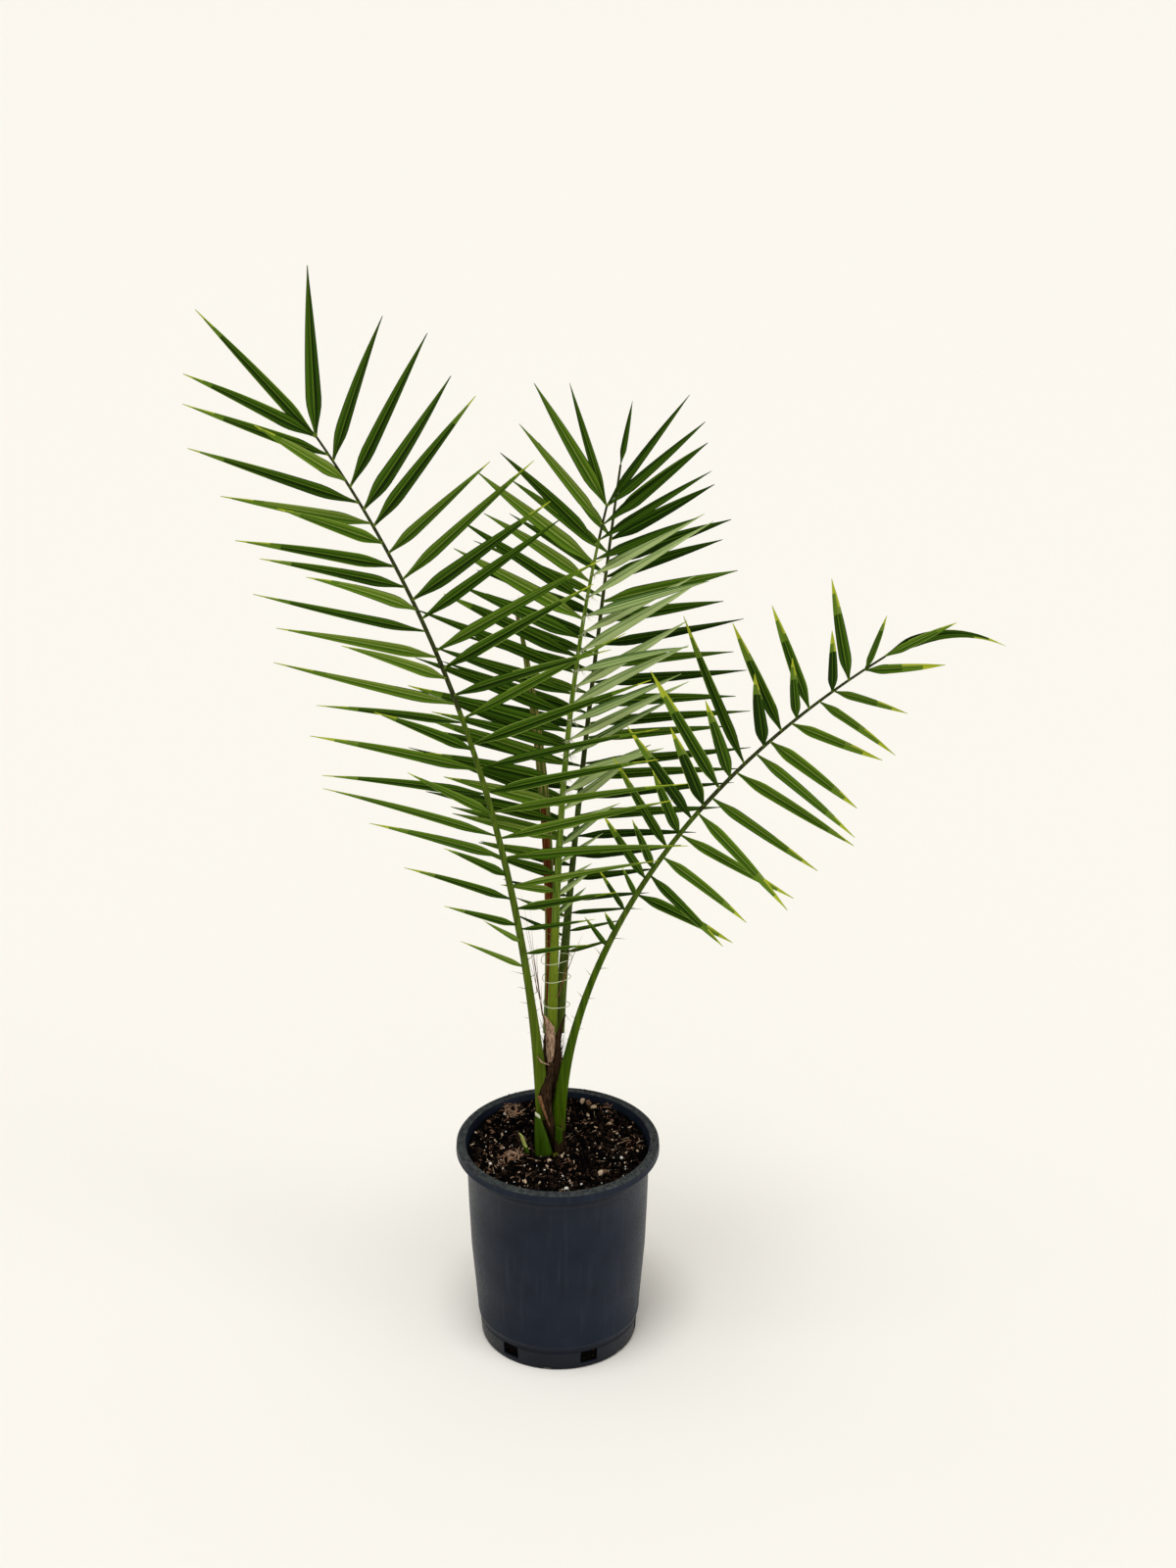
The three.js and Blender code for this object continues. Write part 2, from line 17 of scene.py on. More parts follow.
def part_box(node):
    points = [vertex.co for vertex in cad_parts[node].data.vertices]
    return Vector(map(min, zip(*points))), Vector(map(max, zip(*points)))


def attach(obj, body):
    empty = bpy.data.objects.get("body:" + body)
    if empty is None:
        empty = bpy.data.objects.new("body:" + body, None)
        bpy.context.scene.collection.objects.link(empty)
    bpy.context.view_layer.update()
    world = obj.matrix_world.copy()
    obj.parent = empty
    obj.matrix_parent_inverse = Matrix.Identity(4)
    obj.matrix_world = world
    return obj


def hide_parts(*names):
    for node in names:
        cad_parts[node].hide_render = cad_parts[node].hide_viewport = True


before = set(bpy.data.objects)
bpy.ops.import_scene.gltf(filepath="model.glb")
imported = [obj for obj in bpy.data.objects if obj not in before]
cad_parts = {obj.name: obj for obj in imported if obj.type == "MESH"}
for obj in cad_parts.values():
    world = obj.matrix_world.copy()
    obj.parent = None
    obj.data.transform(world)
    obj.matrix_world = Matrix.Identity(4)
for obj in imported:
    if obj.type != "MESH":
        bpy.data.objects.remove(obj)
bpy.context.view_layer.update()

print("nodes:", sorted(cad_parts))

# %% [markdown]
# ## Units and colours
# A plant is measured in millimetres and Blender works in metres, so sizes below are millimetres and one
# value turns them into metres where a mesh is made. Colours are picked as sRGB hex, as a painter would
# read them off a chart, and one function turns them into the linear values that shaders take.

# %% Units, colours and one node helper
MM = 0.001


def linear(hex_colour):
    channels = [int(hex_colour[i:i + 2], 16) / 255 for i in (1, 3, 5)]
    return (*[c / 12.92 if c <= 0.04045 else ((c + 0.055) / 1.055) ** 2.4 for c in channels], 1.0)


def new_material(name, colour, roughness, specular):
    material = bpy.data.materials.new(name)
    material.use_nodes = True
    shader = material.node_tree.nodes["Principled BSDF"]
    shader.inputs["Base Color"].default_value = linear(colour)
    shader.inputs["Roughness"].default_value = roughness
    shader.inputs["Specular IOR Level"].default_value = specular
    return material


def add_node(material, kind, inputs, output, **settings):
    """Adds a shader node and returns one of its outputs. An input is a value or another node's output."""
    tree = material.node_tree
    node = tree.nodes.new("ShaderNode" + kind)
    for name, value in settings.items():
        setattr(node, name, value)
    for name, value in inputs.items():
        if isinstance(value, bpy.types.NodeSocket):
            tree.links.new(value, node.inputs[name])
        else:
            node.inputs[name].default_value = value
    return node.outputs[output]


def feed(material, socket, output):
    shader = material.node_tree.nodes["Principled BSDF"]
    material.node_tree.links.new(output, shader.inputs[socket])


print("leaf green in linear light:", [round(c, 4) for c in linear("#436212")])

# %% [markdown]
# ## Leaf materials
# A palm leaflet is a tough, waxy blade. Its upper side is green, with a lighter midrib and thin dark
# margins, and its underside has a silvery bloom. One half is a little lighter than the other, which is
# painted light, and the fold beside the midrib is darker, which is painted shade. The ends turn yellow
# and then dry. These colours have fixed places, so they are plain colours on separate slots and each
# face is given its slot later. What all blades share is the fine lengthwise ribbing. A noise that is
# stretched along the blade's own UV map, which is in millimetres, gives it as relief.

# %% Leaf materials
# Real ribs are less than 1 mm apart, too fine to show where a pixel is 1 mm, so they are drawn coarser
RIB_SPACING = 3.4
RIB_LENGTH = 50
MOTTLE_SIZE = 25 / 3
LEAF_ROUGHNESS = 0.45
LEAF_COLOURS = {
    "deep": "#1A2F06", "shade": "#2F4B0B", "leaf": "#436212", "fresh": "#5A781E",
    "olive": "#758A38", "margin": "#8FA24E", "lime": "#A9B531", "straw": "#8C7C46",
    "moss": "#44602B", "bloom": "#879E5E", "silver": "#B3C684",
}


def waxy_blade(name, colour):
    """Leaf wax: a dull sheen that the ribs break up and that changes from patch to patch."""
    material = new_material(name, colour, LEAF_ROUGHNESS, 0.025)
    place = add_node(material, "UVMap", {}, "UV", uv_map="UVMap")
    along = add_node(material, "Mapping", {
        "Vector": place, "Scale": (1 / RIB_SPACING, 1 / RIB_LENGTH, 1)}, "Vector")
    ribs = add_node(material, "TexNoise", {"Vector": along, "Scale": 1.0, "Detail": 1.0}, "Fac")
    bump = add_node(material, "Bump", {"Height": ribs, "Strength": 0.4, "Distance": 0.5 * MM}, "Normal")
    feed(material, "Normal", bump)
    mottle = add_node(material, "TexNoise", {
        "Vector": place, "Scale": 1 / MOTTLE_SIZE, "Detail": 3.0}, "Fac")
    gloss = add_node(material, "MapRange", {
        "Value": mottle, "From Min": 0.3, "From Max": 0.7,
        "To Min": LEAF_ROUGHNESS - 0.07, "To Max": LEAF_ROUGHNESS + 0.1}, "Result")
    feed(material, "Roughness", gloss)
    return material


LEAF = {name: waxy_blade("waxy_leaf_" + name, colour) for name, colour in LEAF_COLOURS.items()}
LEAF_SLOT = {name: slot for slot, name in enumerate(LEAF)}
print("leaf slots:", LEAF_SLOT)

# %% [markdown]
# ## Stalk, sheath and fibre materials
# The stalks are smooth living wood with a wax skin, striped lengthwise. The sheaths round the stem are
# dead leaf bases: dry paper and coarse brown fibre with no gloss at all. Noise that is stretched along
# the plant's height draws the fibres. Each skin below gives its two colours, its roughness, the spacing
# and length of its fibres in mm, and how strong their relief is. Real fibres are a few tenths of a
# millimetre apart, too fine to show, so they are drawn as coarse as they need to be.


# %% Stalk and sheath materials
def streaked(name, dark, light, roughness, across, along, relief):
    """A skin with fibres along Z. across and along are the fibres' spacing and length in mm."""
    material = new_material(name, dark, roughness, 0.06)
    place = add_node(material, "TexCoord", {}, "Object")
    grain = add_node(material, "Mapping", {
        "Vector": place, "Scale": (1 / (across * MM), 1 / (across * MM), 1 / (along * MM))}, "Vector")
    fibres = add_node(material, "TexNoise", {"Vector": grain, "Scale": 1.0, "Detail": 4.0}, "Fac")
    share = add_node(material, "MapRange", {"Value": fibres, "From Min": 0.35, "From Max": 0.65}, "Result")
    tint = add_node(material, "Mix", {0: share, 6: linear(dark), 7: linear(light)}, 2, data_type="RGBA")
    feed(material, "Base Color", tint)
    bump = add_node(material, "Bump", {
        "Height": fibres, "Strength": relief, "Distance": 0.5 * MM}, "Normal")
    feed(material, "Normal", bump)
    return material


# Wax skin has a soft sheen and faint stripes, broad on the bare stalks and finer between the leaflets
STALK = {name: streaked("waxy_stalk_" + name, dark, light, 0.45, 3.0, 90, 0.2) for name, dark, light in (
    ("left", "#42550A", "#586C14"), ("right", "#2C4600", "#4A6405"),
    ("front", "#5E7212", "#7C8E26"), ("rear", "#384810", "#596A26"))}
RACHIS = {name: streaked("waxy_rib_" + name, dark, light, 0.45, 1.6, 40, 0.25) for name, dark, light in (
    ("left", "#36490A", "#5C721C"), ("right", "#32460A", "#566C1A"),
    ("front", "#46640E", "#7A9034"), ("rear", "#2C3C10", "#52652A"))}
RACHIS_DARK = streaked("waxy_rib_dark", "#20260E", "#3F481F", 0.5, 1.4, 30, 0.25)
# Dead sheath has no gloss: near black where it is coarse fibre, pale and finely lined where it is paper
SHEATH_FIBRE = streaked("dry_sheath_fibre", "#0C0704", "#43301F", 0.95, 1.1, 22, 1.0)
SHEATH_PAPER = streaked("dry_sheath_paper", "#6E5240", "#C4A58A", 0.9, 1.5, 6, 0.7)
SHEATH_STRIP = streaked("dry_sheath_strip", "#4A2E1A", "#8A6446", 0.85, 1.4, 16, 0.6)
SPINE_SKIN = streaked("horny_spine", "#44561A", "#7C8140", 0.5, 1.0, 12, 0.1)
# The closed leaf's satin pleats are green and tan, and where the sheaths rubbed it is rust and dull
SPEAR_GREEN = streaked("satin_new_leaf_green", "#3F5A18", "#66802A", 0.5, 1.2, 50, 0.3)
SPEAR_TAN = streaked("satin_new_leaf_tan", "#7C7038", "#A8985A", 0.6, 1.2, 40, 0.3)
SPEAR_RUST = streaked("rubbed_new_leaf_rust", "#3C1808", "#8C4A1E", 0.7, 1.2, 60, 0.4)
# Cut stalks have smooth green skin and chalky pith. Fluff is woolly and pale, a young shoot yellow green
CUT_GREEN = streaked("waxy_cut_stalk", "#2B4503", "#3A550A", 0.5, 5.0, 60, 0.15)
FLUFF_SKIN = streaked("woolly_fluff", "#A3A684", "#CFD1B4", 0.9, 1.0, 6, 0.1)
SHOOT_PALE = streaked("waxy_shoot_pale", "#8FA044", "#C9CC7C", 0.55, 1.5, 20, 0.15)
CUT_PITH = streaked("chalky_pith", "#B9BE96", "#E8E8D2", 0.8, 1.0, 3, 0.6)
print("stalk materials:", len(STALK) + len(RACHIS), "and a dry one is", SHEATH_FIBRE.name)

# %% [markdown]
# ## Camera, floor and light
# The photograph looks down at the plant by 26 degrees from 3.3 m in front of it, with a long lens. The
# floor is a wide pale sheet, so that nothing but floor fills the view. A wide soft light overhead and a
# pale even sky make a light tent. A smaller soft light high on the left throws the weak shadow on the
# right, and one low on the right models the leaves and the pot's wall.


# %% Camera
def add_object(name, data):
    thing = bpy.data.objects.new(name, data)
    bpy.context.scene.collection.objects.link(thing)
    return thing


CAMERA_PITCH = 64.04
camera = add_object("camera", bpy.data.cameras.new("camera"))
camera.data.lens = 72
camera.data.sensor_width = 36
camera.location = (0.037, -3.267, 2.350)
camera.rotation_euler = (math.radians(CAMERA_PITCH), 0, 0)
bpy.context.scene.camera = camera
bpy.context.scene.view_settings.view_transform = "Standard"
print("the camera looks down by", round(90 - CAMERA_PITCH), "degrees")


# %% Floor
def mesh_object(name, bm, materials=()):
    """A smooth object out of a bmesh, which is freed."""
    mesh = bpy.data.meshes.new(name)
    bm.to_mesh(mesh)
    bm.free()
    for material in materials:
        mesh.materials.append(material)
    mesh.shade_smooth()
    return add_object(name, mesh)


FLOOR_SIDE = 60
# Matt paper takes the soft shadow and shows no gloss
pale_paper = new_material("pale_paper_floor", "#FBF8F4", 0.9, 0.1)
bm = bmesh.new()
bmesh.ops.create_grid(bm, x_segments=1, y_segments=1, size=FLOOR_SIDE / 2)
floor = mesh_object("floor", bm, [pale_paper])
print("floor side in m:", FLOOR_SIDE)

# %% Light
DAY_WHITE = (0.985, 1, 0.99)
LIGHT_AIM = Vector((0, 0, 0.5))
# Where each soft light stands in m, its strength, and how many degrees wide it looks from the plant
LIGHTS = {
    "tent_roof": ((-0.15, -0.8, 4.0), 1.65, 24),
    "left_window": ((-1.8, 0.1, 4.0), 0.28, 40),
    "right_panel": ((3.0, -1.75, 1.1), 0.65, 28),
}
for name, (place, strength, width) in LIGHTS.items():
    light = add_object(name, bpy.data.lights.new(name, "SUN"))
    light.data.energy = strength
    light.data.angle = math.radians(width)
    light.data.color = DAY_WHITE
    light.location = place
    light.rotation_euler = (LIGHT_AIM - Vector(place)).to_track_quat("-Z", "Y").to_euler()
world = bpy.data.worlds.new("tent")
world.use_nodes = True
world.node_tree.nodes["Background"].inputs["Color"].default_value = linear("#FFFAEE")
world.node_tree.nodes["Background"].inputs["Strength"].default_value = 0.4
bpy.context.scene.world = world
print("lights:", list(LIGHTS))

# %% [markdown]
# ## The growth rule
# The solids of the fronds were grown by a rule. The same rule is written again here with the same values,
# so every fine leaflet grows where its solid is. Modelling them by eye would drift away from the solids.
#
# A midrib bends evenly from foot to tip: its heading, its rise and the roll of its blade go from the
# first value to the second, in degrees. Two sides of leaflets stand along it. Three angles say how the
# first, middle and last leaflet open. Each rank is one plane of leaflets: how far it lifts out of the
# blade, how much wider it opens, and how long its leaflets are. Small seeded differences keep any two
# leaflets from being alike.
#
# The looks are this lesson's own. The outline is where a blade reaches its full width and how late it
# tapers. Broad and yellow are what the first and the last leaflet have, and each leaflet draws its
# upper colour from the tints and its lower one from the unders.


# %% Values of the growth rule
def one_side(**values):
    """One side of a frond. Unless told, it runs to the tip, lies flat, and is moss below, not yellow."""
    return {"last": 1, "turn": 0, "unders": ("moss",), "yellow": (0, 0), **values}


FRONDS = {
    "front": dict(
        foot=(-7, 12, 414), length=695, heading=(-14, -14), rise=(88.2, 77), bend=2, roll=(106, 102),
        stalk=6, flare=0, seed=83, outline=(0.26, 2.3),
        right=one_side(
            count=24, first=0.24, angles=(44, 50, 27), length=170, width=14, base_share=0.3,
            tip_share=0.9, peak=0.55, ranks=((-8, 2, 1), (12, -2, 1), (24, 4, 1)), turn=155, droop=0.03,
            broad=(0.85, 0.8), tints=("shade", "leaf"), unders=("silver", "silver", "bloom"),
        ),
        left=one_side(
            count=24, first=0.22, angles=(74, 69, 40), length=188, width=15, base_share=0.3,
            tip_share=0.9, peak=0.4, ranks=((-10, 0, 1), (10, -2, 0.95), (2, 2, 1.03)), droop=0.03,
            broad=(1.08, 1.0), tints=("leaf", "shade", "fresh", "shade"), unders=("bloom",),
            yellow=(0.25, 0),
        ),
        ends=(
            dict(angle=-29, length=155, width=12, droop=0.03, broad=0.85),
            dict(angle=20, length=165, width=12, droop=0.03, broad=0.85),
        ),
    ),
    "rear": dict(
        foot=(1, 22, 414), length=703, heading=(55, 55), rise=(83.4, 76.4), bend=0.8, roll=(28, 34),
        stalk=5, flare=0, seed=131, outline=(0.25, 2.4),
        right=one_side(
            count=23, first=0.15, last=0.91, angles=(68, 74, 40), length=188, width=13, base_share=0.36,
            tip_share=0.8, peak=0.42, ranks=((4, 1, 1), (14, -1, 1)), droop=0.02,
            broad=(0.7, 1.2), tints=("shade", "leaf", "deep"),
        ),
        left=one_side(
            count=22, first=0.18, last=0.88, angles=(72, 74, 44), length=205, width=13, base_share=0.33,
            tip_share=0.7, peak=0.42, ranks=((4, 2, 1), (20, -3, 0.95), (10, 1, 1)), droop=0.02,
            broad=(1.0, 0.95), tints=("leaf", "shade", "deep"),
        ),
        ends=(dict(angle=3, length=76, width=14, droop=0.02, broad=0.8),),
    ),
    "right": dict(
        foot=(-2, 4, 262), length=793, heading=(-15, 5), rise=(87.8, 32.9), bend=1, roll=(90, 80),
        stalk=5.6, flare=2.6, seed=47, outline=(0.24, 2.9),
        right=one_side(
            count=14, first=0.473, angles=(86, 68, 2), length=160, width=11, base_share=0.8,
            tip_share=0.55, peak=0.35, ranks=((6, -3, 1), (26, 3, 1), (14, 0, 0.94)), droop=0.05,
            broad=(1.15, 1.25), tints=("leaf", "shade", "leaf"), yellow=(0.7, 1.2),
        ),
        left=one_side(
            count=20, first=0.372, last=0.965, angles=(48, 63, 52), length=185, width=11,
            base_share=0.25, tip_share=0.66, peak=0.5, ranks=((16, 5, 1.08), (30, -5, 0.68)), droop=0.02,
            broad=(1.15, 1.3), tints=("deep", "shade", "shade"), yellow=(0.5, 0.8),
        ),
        ends=(dict(angle=0, length=165, width=13, droop=0.5, broad=1.05),),
    ),
    "left": dict(
        foot=(-13.5, 5, 262), length=1006, heading=(205, 205), rise=(85.9, 58.9), bend=1.4,
        roll=(-105, -112), stalk=5.8, flare=4.5, seed=11, outline=(0.24, 1.9),
        right=one_side(
            count=23, first=0.277, angles=(84, 66, 26), length=240, width=13, base_share=0.32,
            tip_share=0.9, peak=0.22, ranks=((8, 1, 1), (20, -1, 1)), droop=0.03,
            broad=(0.84, 1.25), tints=("leaf", "shade", "fresh", "shade"), yellow=(0.45, 0),
        ),
        left=one_side(
            count=25, first=0.257, angles=(48, 46, 20), length=200, width=12, base_share=0.42,
            tip_share=0.84, peak=0.3, ranks=((6, 3, 1.08), (36, -9, 0.84), (16, 3, 1)), droop=0.03,
            broad=(0.86, 1.2), tints=("leaf", "shade", "fresh"), yellow=(0.45, 0.25),
        ),
        ends=(dict(angle=-7, length=202, width=13, droop=0.03, broad=1.1),),
    ),
}
GROWING_ORDER = ("front", "rear", "right", "left")
SPEAR = dict(
    foot=(-12, 21, 414), length=561, heading=(172, 172), rise=(92.6, 79.4), bend=1.2, roll=(0, 0),
    base_radius=5.2, full_radius=5.6, full=0.6, tip_radius=1.2, tip_power=1.6,
    split=0.9, prong_length=70, prong_spread=6, prong_radius=1.8,
)
STEPS = 96
ANGLE_EASE = 0.6
# A leaflet keeps this far from the other fronds: it is lifted or lowered in steps until it does
CLEARANCE = 12
LIFT_STEP = 5
LIFT_TRIES = 8
CHECKED_SHARES = (0, 0.33, 0.67, 1)
CHECKED_EVERY = 8
SPREAD = dict(place=0.2, lift=5, angle=3, length=0.09, turn=18, droop=0.7, broad=0.14)
SEED_PER_LEAFLET = 7
SEED_LEFT_SIDE = 300
RIB_TIP = 1.3
RIB_TAPER = 0.9
RIB_FLATNESS = 0.78
RIB_FLARE_END = 0.22
RIB_FLARE_POWER = 1.5
STRAIGHT_END = 20
UP = Vector((0, 0, 1))
sides = [frond[side] for frond in FRONDS.values() for side in ("right", "left")]
print("leaflets asked for:", sum(side["count"] for side in sides))


# %% Midribs
def mix(low, high, share):
    return low + (high - low) * share


def smooth(x):
    return x * x * (3 - 2 * x)


def jitter(index):
    """A repeatable number between -1 and 1 for each whole number."""
    value = math.sin(index * 12.9898) * 43758.5453
    return 2 * (value - math.floor(value)) - 1


def between(low, high, index):
    """A repeatable number between low and high for each whole number."""
    return mix(low, high, (jitter(index) + 1) / 2)


def frame_at(rib, share):
    """The directions along a midrib, across its blade and out of the blade's face."""
    rise = math.radians(mix(*rib["rise"], share ** rib["bend"]))
    heading = math.radians(mix(*rib["heading"], share))
    roll = math.radians(mix(*rib["roll"], share))
    forward = Vector((math.cos(heading), math.sin(heading), 0))
    along = forward * math.cos(rise) + UP * math.sin(rise)
    upper = UP * math.cos(rise) - forward * math.sin(rise)
    level = Vector((math.sin(heading), -math.cos(heading), 0))
    across = level * math.cos(roll) - upper * math.sin(roll)
    face = upper * math.cos(roll) + level * math.sin(roll)
    return along, across, face


def midrib(rib):
    points = [Vector(rib["foot"])]
    for i in range(STEPS):
        along = frame_at(rib, (i + 0.5) / STEPS)[0]
        points.append(points[i] + along * (rib["length"] / STEPS))
    return points


def point_at(points, share):
    place = share * STEPS
    index = min(int(place), STEPS - 1)
    return points[index].lerp(points[index + 1], place - index)


def skin_point(rib, points, share, angle, wide, deep):
    """The point at an angle round a midrib, from its half width and half depth there."""
    along, across, face = frame_at(rib, share)
    return point_at(points, share) + across * (wide * math.cos(angle)) + face * (deep * math.sin(angle))


def rib_radius(frond, share):
    shaft = mix(frond["stalk"], RIB_TIP, share ** RIB_TAPER)
    return shaft + frond["flare"] * max(0, 1 - share / RIB_FLARE_END) ** RIB_FLARE_POWER


rib_lines = {name: midrib(frond) for name, frond in FRONDS.items()}
spear_line = midrib(SPEAR)
print("midrib tips in mm:", {name: [round(x) for x in line[-1]] for name, line in rib_lines.items()})


# %% Leaflets of the rule
def length_share(side, share):
    if share < side["peak"]:
        return mix(side["base_share"], 1, smooth(share / side["peak"]))
    return mix(1, side["tip_share"], smooth((share - side["peak"]) / (1 - side["peak"])))


def opening_angle(angles, share):
    """A smooth run through the first, middle and last angle, quickest near the tip."""
    x = 1 - (1 - share) ** ANGLE_EASE
    first, middle, last = angles
    return first * (2 * x - 1) * (x - 1) + middle * 4 * x * (1 - x) + last * x * (2 * x - 1)


def leaflet_direction(axes, sign, angle, lift):
    """The way a leaflet points, from its angle to the midrib and out of the blade, in degrees."""
    along, across, face = axes
    angle = math.radians(angle)
    lift = math.radians(lift)
    outward = across * (sign * math.cos(lift)) + face * math.sin(lift)
    return along * math.cos(angle) + outward * math.sin(angle)


def leaflet_line(leaflet):
    points = []
    for share in CHECKED_SHARES:
        point = leaflet["root"] + leaflet["direction"] * (leaflet["length"] * share)
        point.z -= leaflet["length"] * leaflet["droop"] * share * share
        points.append(point)
    return points


def stretches(lines):
    """Every straight stretch of the lines, as two arrays of end points."""
    pairs = [(a, b) for line in lines for a, b in zip(line, line[1:])]
    return np.array([a for a, b in pairs]), np.array([b for a, b in pairs])


def nearest(line, others):
    """The shortest distance from a line to many other stretches."""
    start, end = others
    other_way = end - start
    other_square = (other_way ** 2).sum(1)
    best = math.inf
    for a, b in zip(line, line[1:]):
        way = np.array(b - a)
        apart = np.array(a) - start
        square = way @ way
        cross = other_way @ way
        lean = apart @ way
        other_lean = (apart * other_way).sum(1)
        skew = square * other_square - cross ** 2
        safe = np.where(skew > 1e-6, skew, 1)
        share = np.clip((cross * other_lean - lean * other_square) / safe, 0, 1)
        share = np.where(skew > 1e-6, share, 0)
        other_share = (cross * share + other_lean) / other_square
        share = np.where(other_share < 0, np.clip(-lean / square, 0, 1), share)
        share = np.where(other_share > 1, np.clip((cross - lean) / square, 0, 1), share)
        other_share = np.clip(other_share, 0, 1)
        gaps = apart + way * share[:, None] - other_way * other_share[:, None]
        best = min(best, float(np.sqrt((gaps ** 2).sum(1)).min()))
    return best


def grow_leaflet(frond, side, sign, index, points, others):
    """A side's leaflet of this index, clear of the other fronds, or None where none is."""
    number = frond["seed"] + index * SEED_PER_LEAFLET + (SEED_LEFT_SIDE if sign < 0 else 0)
    share = index / (side["count"] - 1)
    place = mix(side["first"], side["last"], share)
    if 0 < index < side["count"] - 1:
        spacing = (side["last"] - side["first"]) / (side["count"] - 1)
        place += SPREAD["place"] * spacing * jitter(number)
    axes = frame_at(frond, place)
    rank_lift, rank_angle, rank_length = side["ranks"][index % len(side["ranks"])]
    long_share = length_share(side, share) * rank_length
    lift = rank_lift + SPREAD["lift"] * jitter(number + 1)
    angle = opening_angle(side["angles"], share) + rank_angle + SPREAD["angle"] * jitter(number + 2)
    leaflet = {
        "root": point_at(points, place), "along": axes[0], "outline": frond["outline"],
        "side": side, "sign": sign, "number": number, "share": share, "width": side["width"],
        "length": side["length"] * long_share * (1 + SPREAD["length"] * jitter(number + 3)),
        "turn": side["turn"] + SPREAD["turn"] * jitter(number + 4),
        "droop": side["droop"] * (1 + SPREAD["droop"] * jitter(number + 5)),
        "broad": mix(*side["broad"], share) * (1 + SPREAD["broad"] * jitter(number + 6)),
    }
    for attempt in range(LIFT_TRIES + 1):
        change = LIFT_STEP * math.ceil(attempt / 2) * (1 if attempt % 2 else -1)
        leaflet["direction"] = leaflet_direction(axes, sign, angle, lift + change)
        if nearest(leaflet_line(leaflet), others) >= CLEARANCE:
            return leaflet
    return None


def end_leaflets(frond, points):
    """The leaflet or pair that ends a frond."""
    axes = frame_at(frond, 1)
    grown = []
    for end in frond["ends"]:
        sign = -1 if end["angle"] < 0 else 1
        grown.append({
            **end, "root": points[STEPS], "outline": frond["outline"], "turn": 0, "share": 1,
            "along": axes[0] if abs(end["angle"]) > STRAIGHT_END else axes[1],
            "direction": leaflet_direction(axes, 1, end["angle"], 0), "sign": sign,
            "side": frond["right" if sign > 0 else "left"], "number": frond["seed"] + int(end["length"]),
        })
    return grown


leaflets = {}
for name in GROWING_ORDER:
    frond = FRONDS[name]
    lines = [spear_line[::CHECKED_EVERY]]
    for other in FRONDS:
        if other != name:
            lines.append(rib_lines[other][::CHECKED_EVERY])
            lines += [leaflet_line(leaflet) for leaflet in leaflets.get(other, ())]
    others = stretches(lines)
    grown = end_leaflets(frond, rib_lines[name])
    for side, sign in ((frond["right"], 1), (frond["left"], -1)):
        for index in range(side["count"]):
            leaflet = grow_leaflet(frond, side, sign, index, rib_lines[name], others)
            if leaflet:
                grown.append(leaflet)
    leaflets[name] = grown
print("leaflets grown:", {name: len(grown) for name, grown in leaflets.items()})

# %% [markdown]
# ## One blank, many copies
# A frond has about fifty leaflets of one kind, and the potting mix has thousands of crumbs. Modelling
# each with operators would take minutes. So one blank is modelled with bmesh operators, read into
# arrays, bent or scaled once for each copy, and the copies are joined into one mesh.


# %% Blanks and copies
def read_blank(bm):
    """The vertices and faces of a bmesh, as arrays. The bmesh is freed."""
    bm.verts.index_update()
    blank = {
        "points": np.array([v.co for v in bm.verts]),
        "corners": np.array([loop.vert.index for face in bm.faces for loop in face.loops]),
        "sizes": np.array([len(face.verts) for face in bm.faces]),
        "centres": np.array([face.calc_center_median() for face in bm.faces]),
    }
    bm.free()
    return blank


def join_copies(name, blank, shapes, materials, dealt=None, uvs=None):
    """One mesh out of copies. shapes has each copy's points in mm, dealt its slot or one per face."""
    copies = len(shapes)
    count = len(blank["points"])
    mesh = bpy.data.meshes.new(name)
    mesh.vertices.add(copies * count)
    mesh.vertices.foreach_set("co", (np.concatenate(shapes) * MM).ravel())
    corners = np.concatenate([blank["corners"] + i * count for i in range(copies)])
    sizes = np.tile(blank["sizes"], copies)
    mesh.loops.add(len(corners))
    mesh.loops.foreach_set("vertex_index", corners)
    mesh.polygons.add(len(sizes))
    mesh.polygons.foreach_set("loop_start", np.concatenate([[0], np.cumsum(sizes)[:-1]]))
    for material in materials:
        mesh.materials.append(material)
    if dealt is not None:
        slots = [np.broadcast_to(slot, len(blank["sizes"])) for slot in dealt]
        mesh.polygons.foreach_set("material_index", np.concatenate(slots))
    if uvs is not None:
        layer = mesh.uv_layers.new(name="UVMap")
        layer.data.foreach_set("uv", np.concatenate(uvs).ravel())
    mesh.update(calc_edges=True)
    mesh.validate()
    mesh.shade_smooth()
    return add_object(name, mesh)


def finish_piece(piece, slot, *nodes):
    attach(piece, "root")
    if nodes:
        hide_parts(*nodes)
    piece.data.calc_loop_triangles()
    print(piece.name, len(piece.data.loop_triangles), "triangles")


# %% [markdown]
# ## Leaflet blades
# A date palm's leaflet is folded along its midrib like a gutter, tightly at its root and wider further
# out. It is widest at about a quarter of its length and runs to a long sharp point. The blank is a flat
# grid with narrow columns for midrib and margins, extruded once into a thin closed plate. Its own
# coordinates are kept as across, along and under, and each leaflet bends them into its place.

# %% The leaflet blank
BLADE_COLUMNS = (-1, -0.9, -0.62, -0.45, -0.09, 0.09, 0.45, 0.62, 0.9, 1)
BLADE_ROWS = 18
ROW_POWER = 1.3


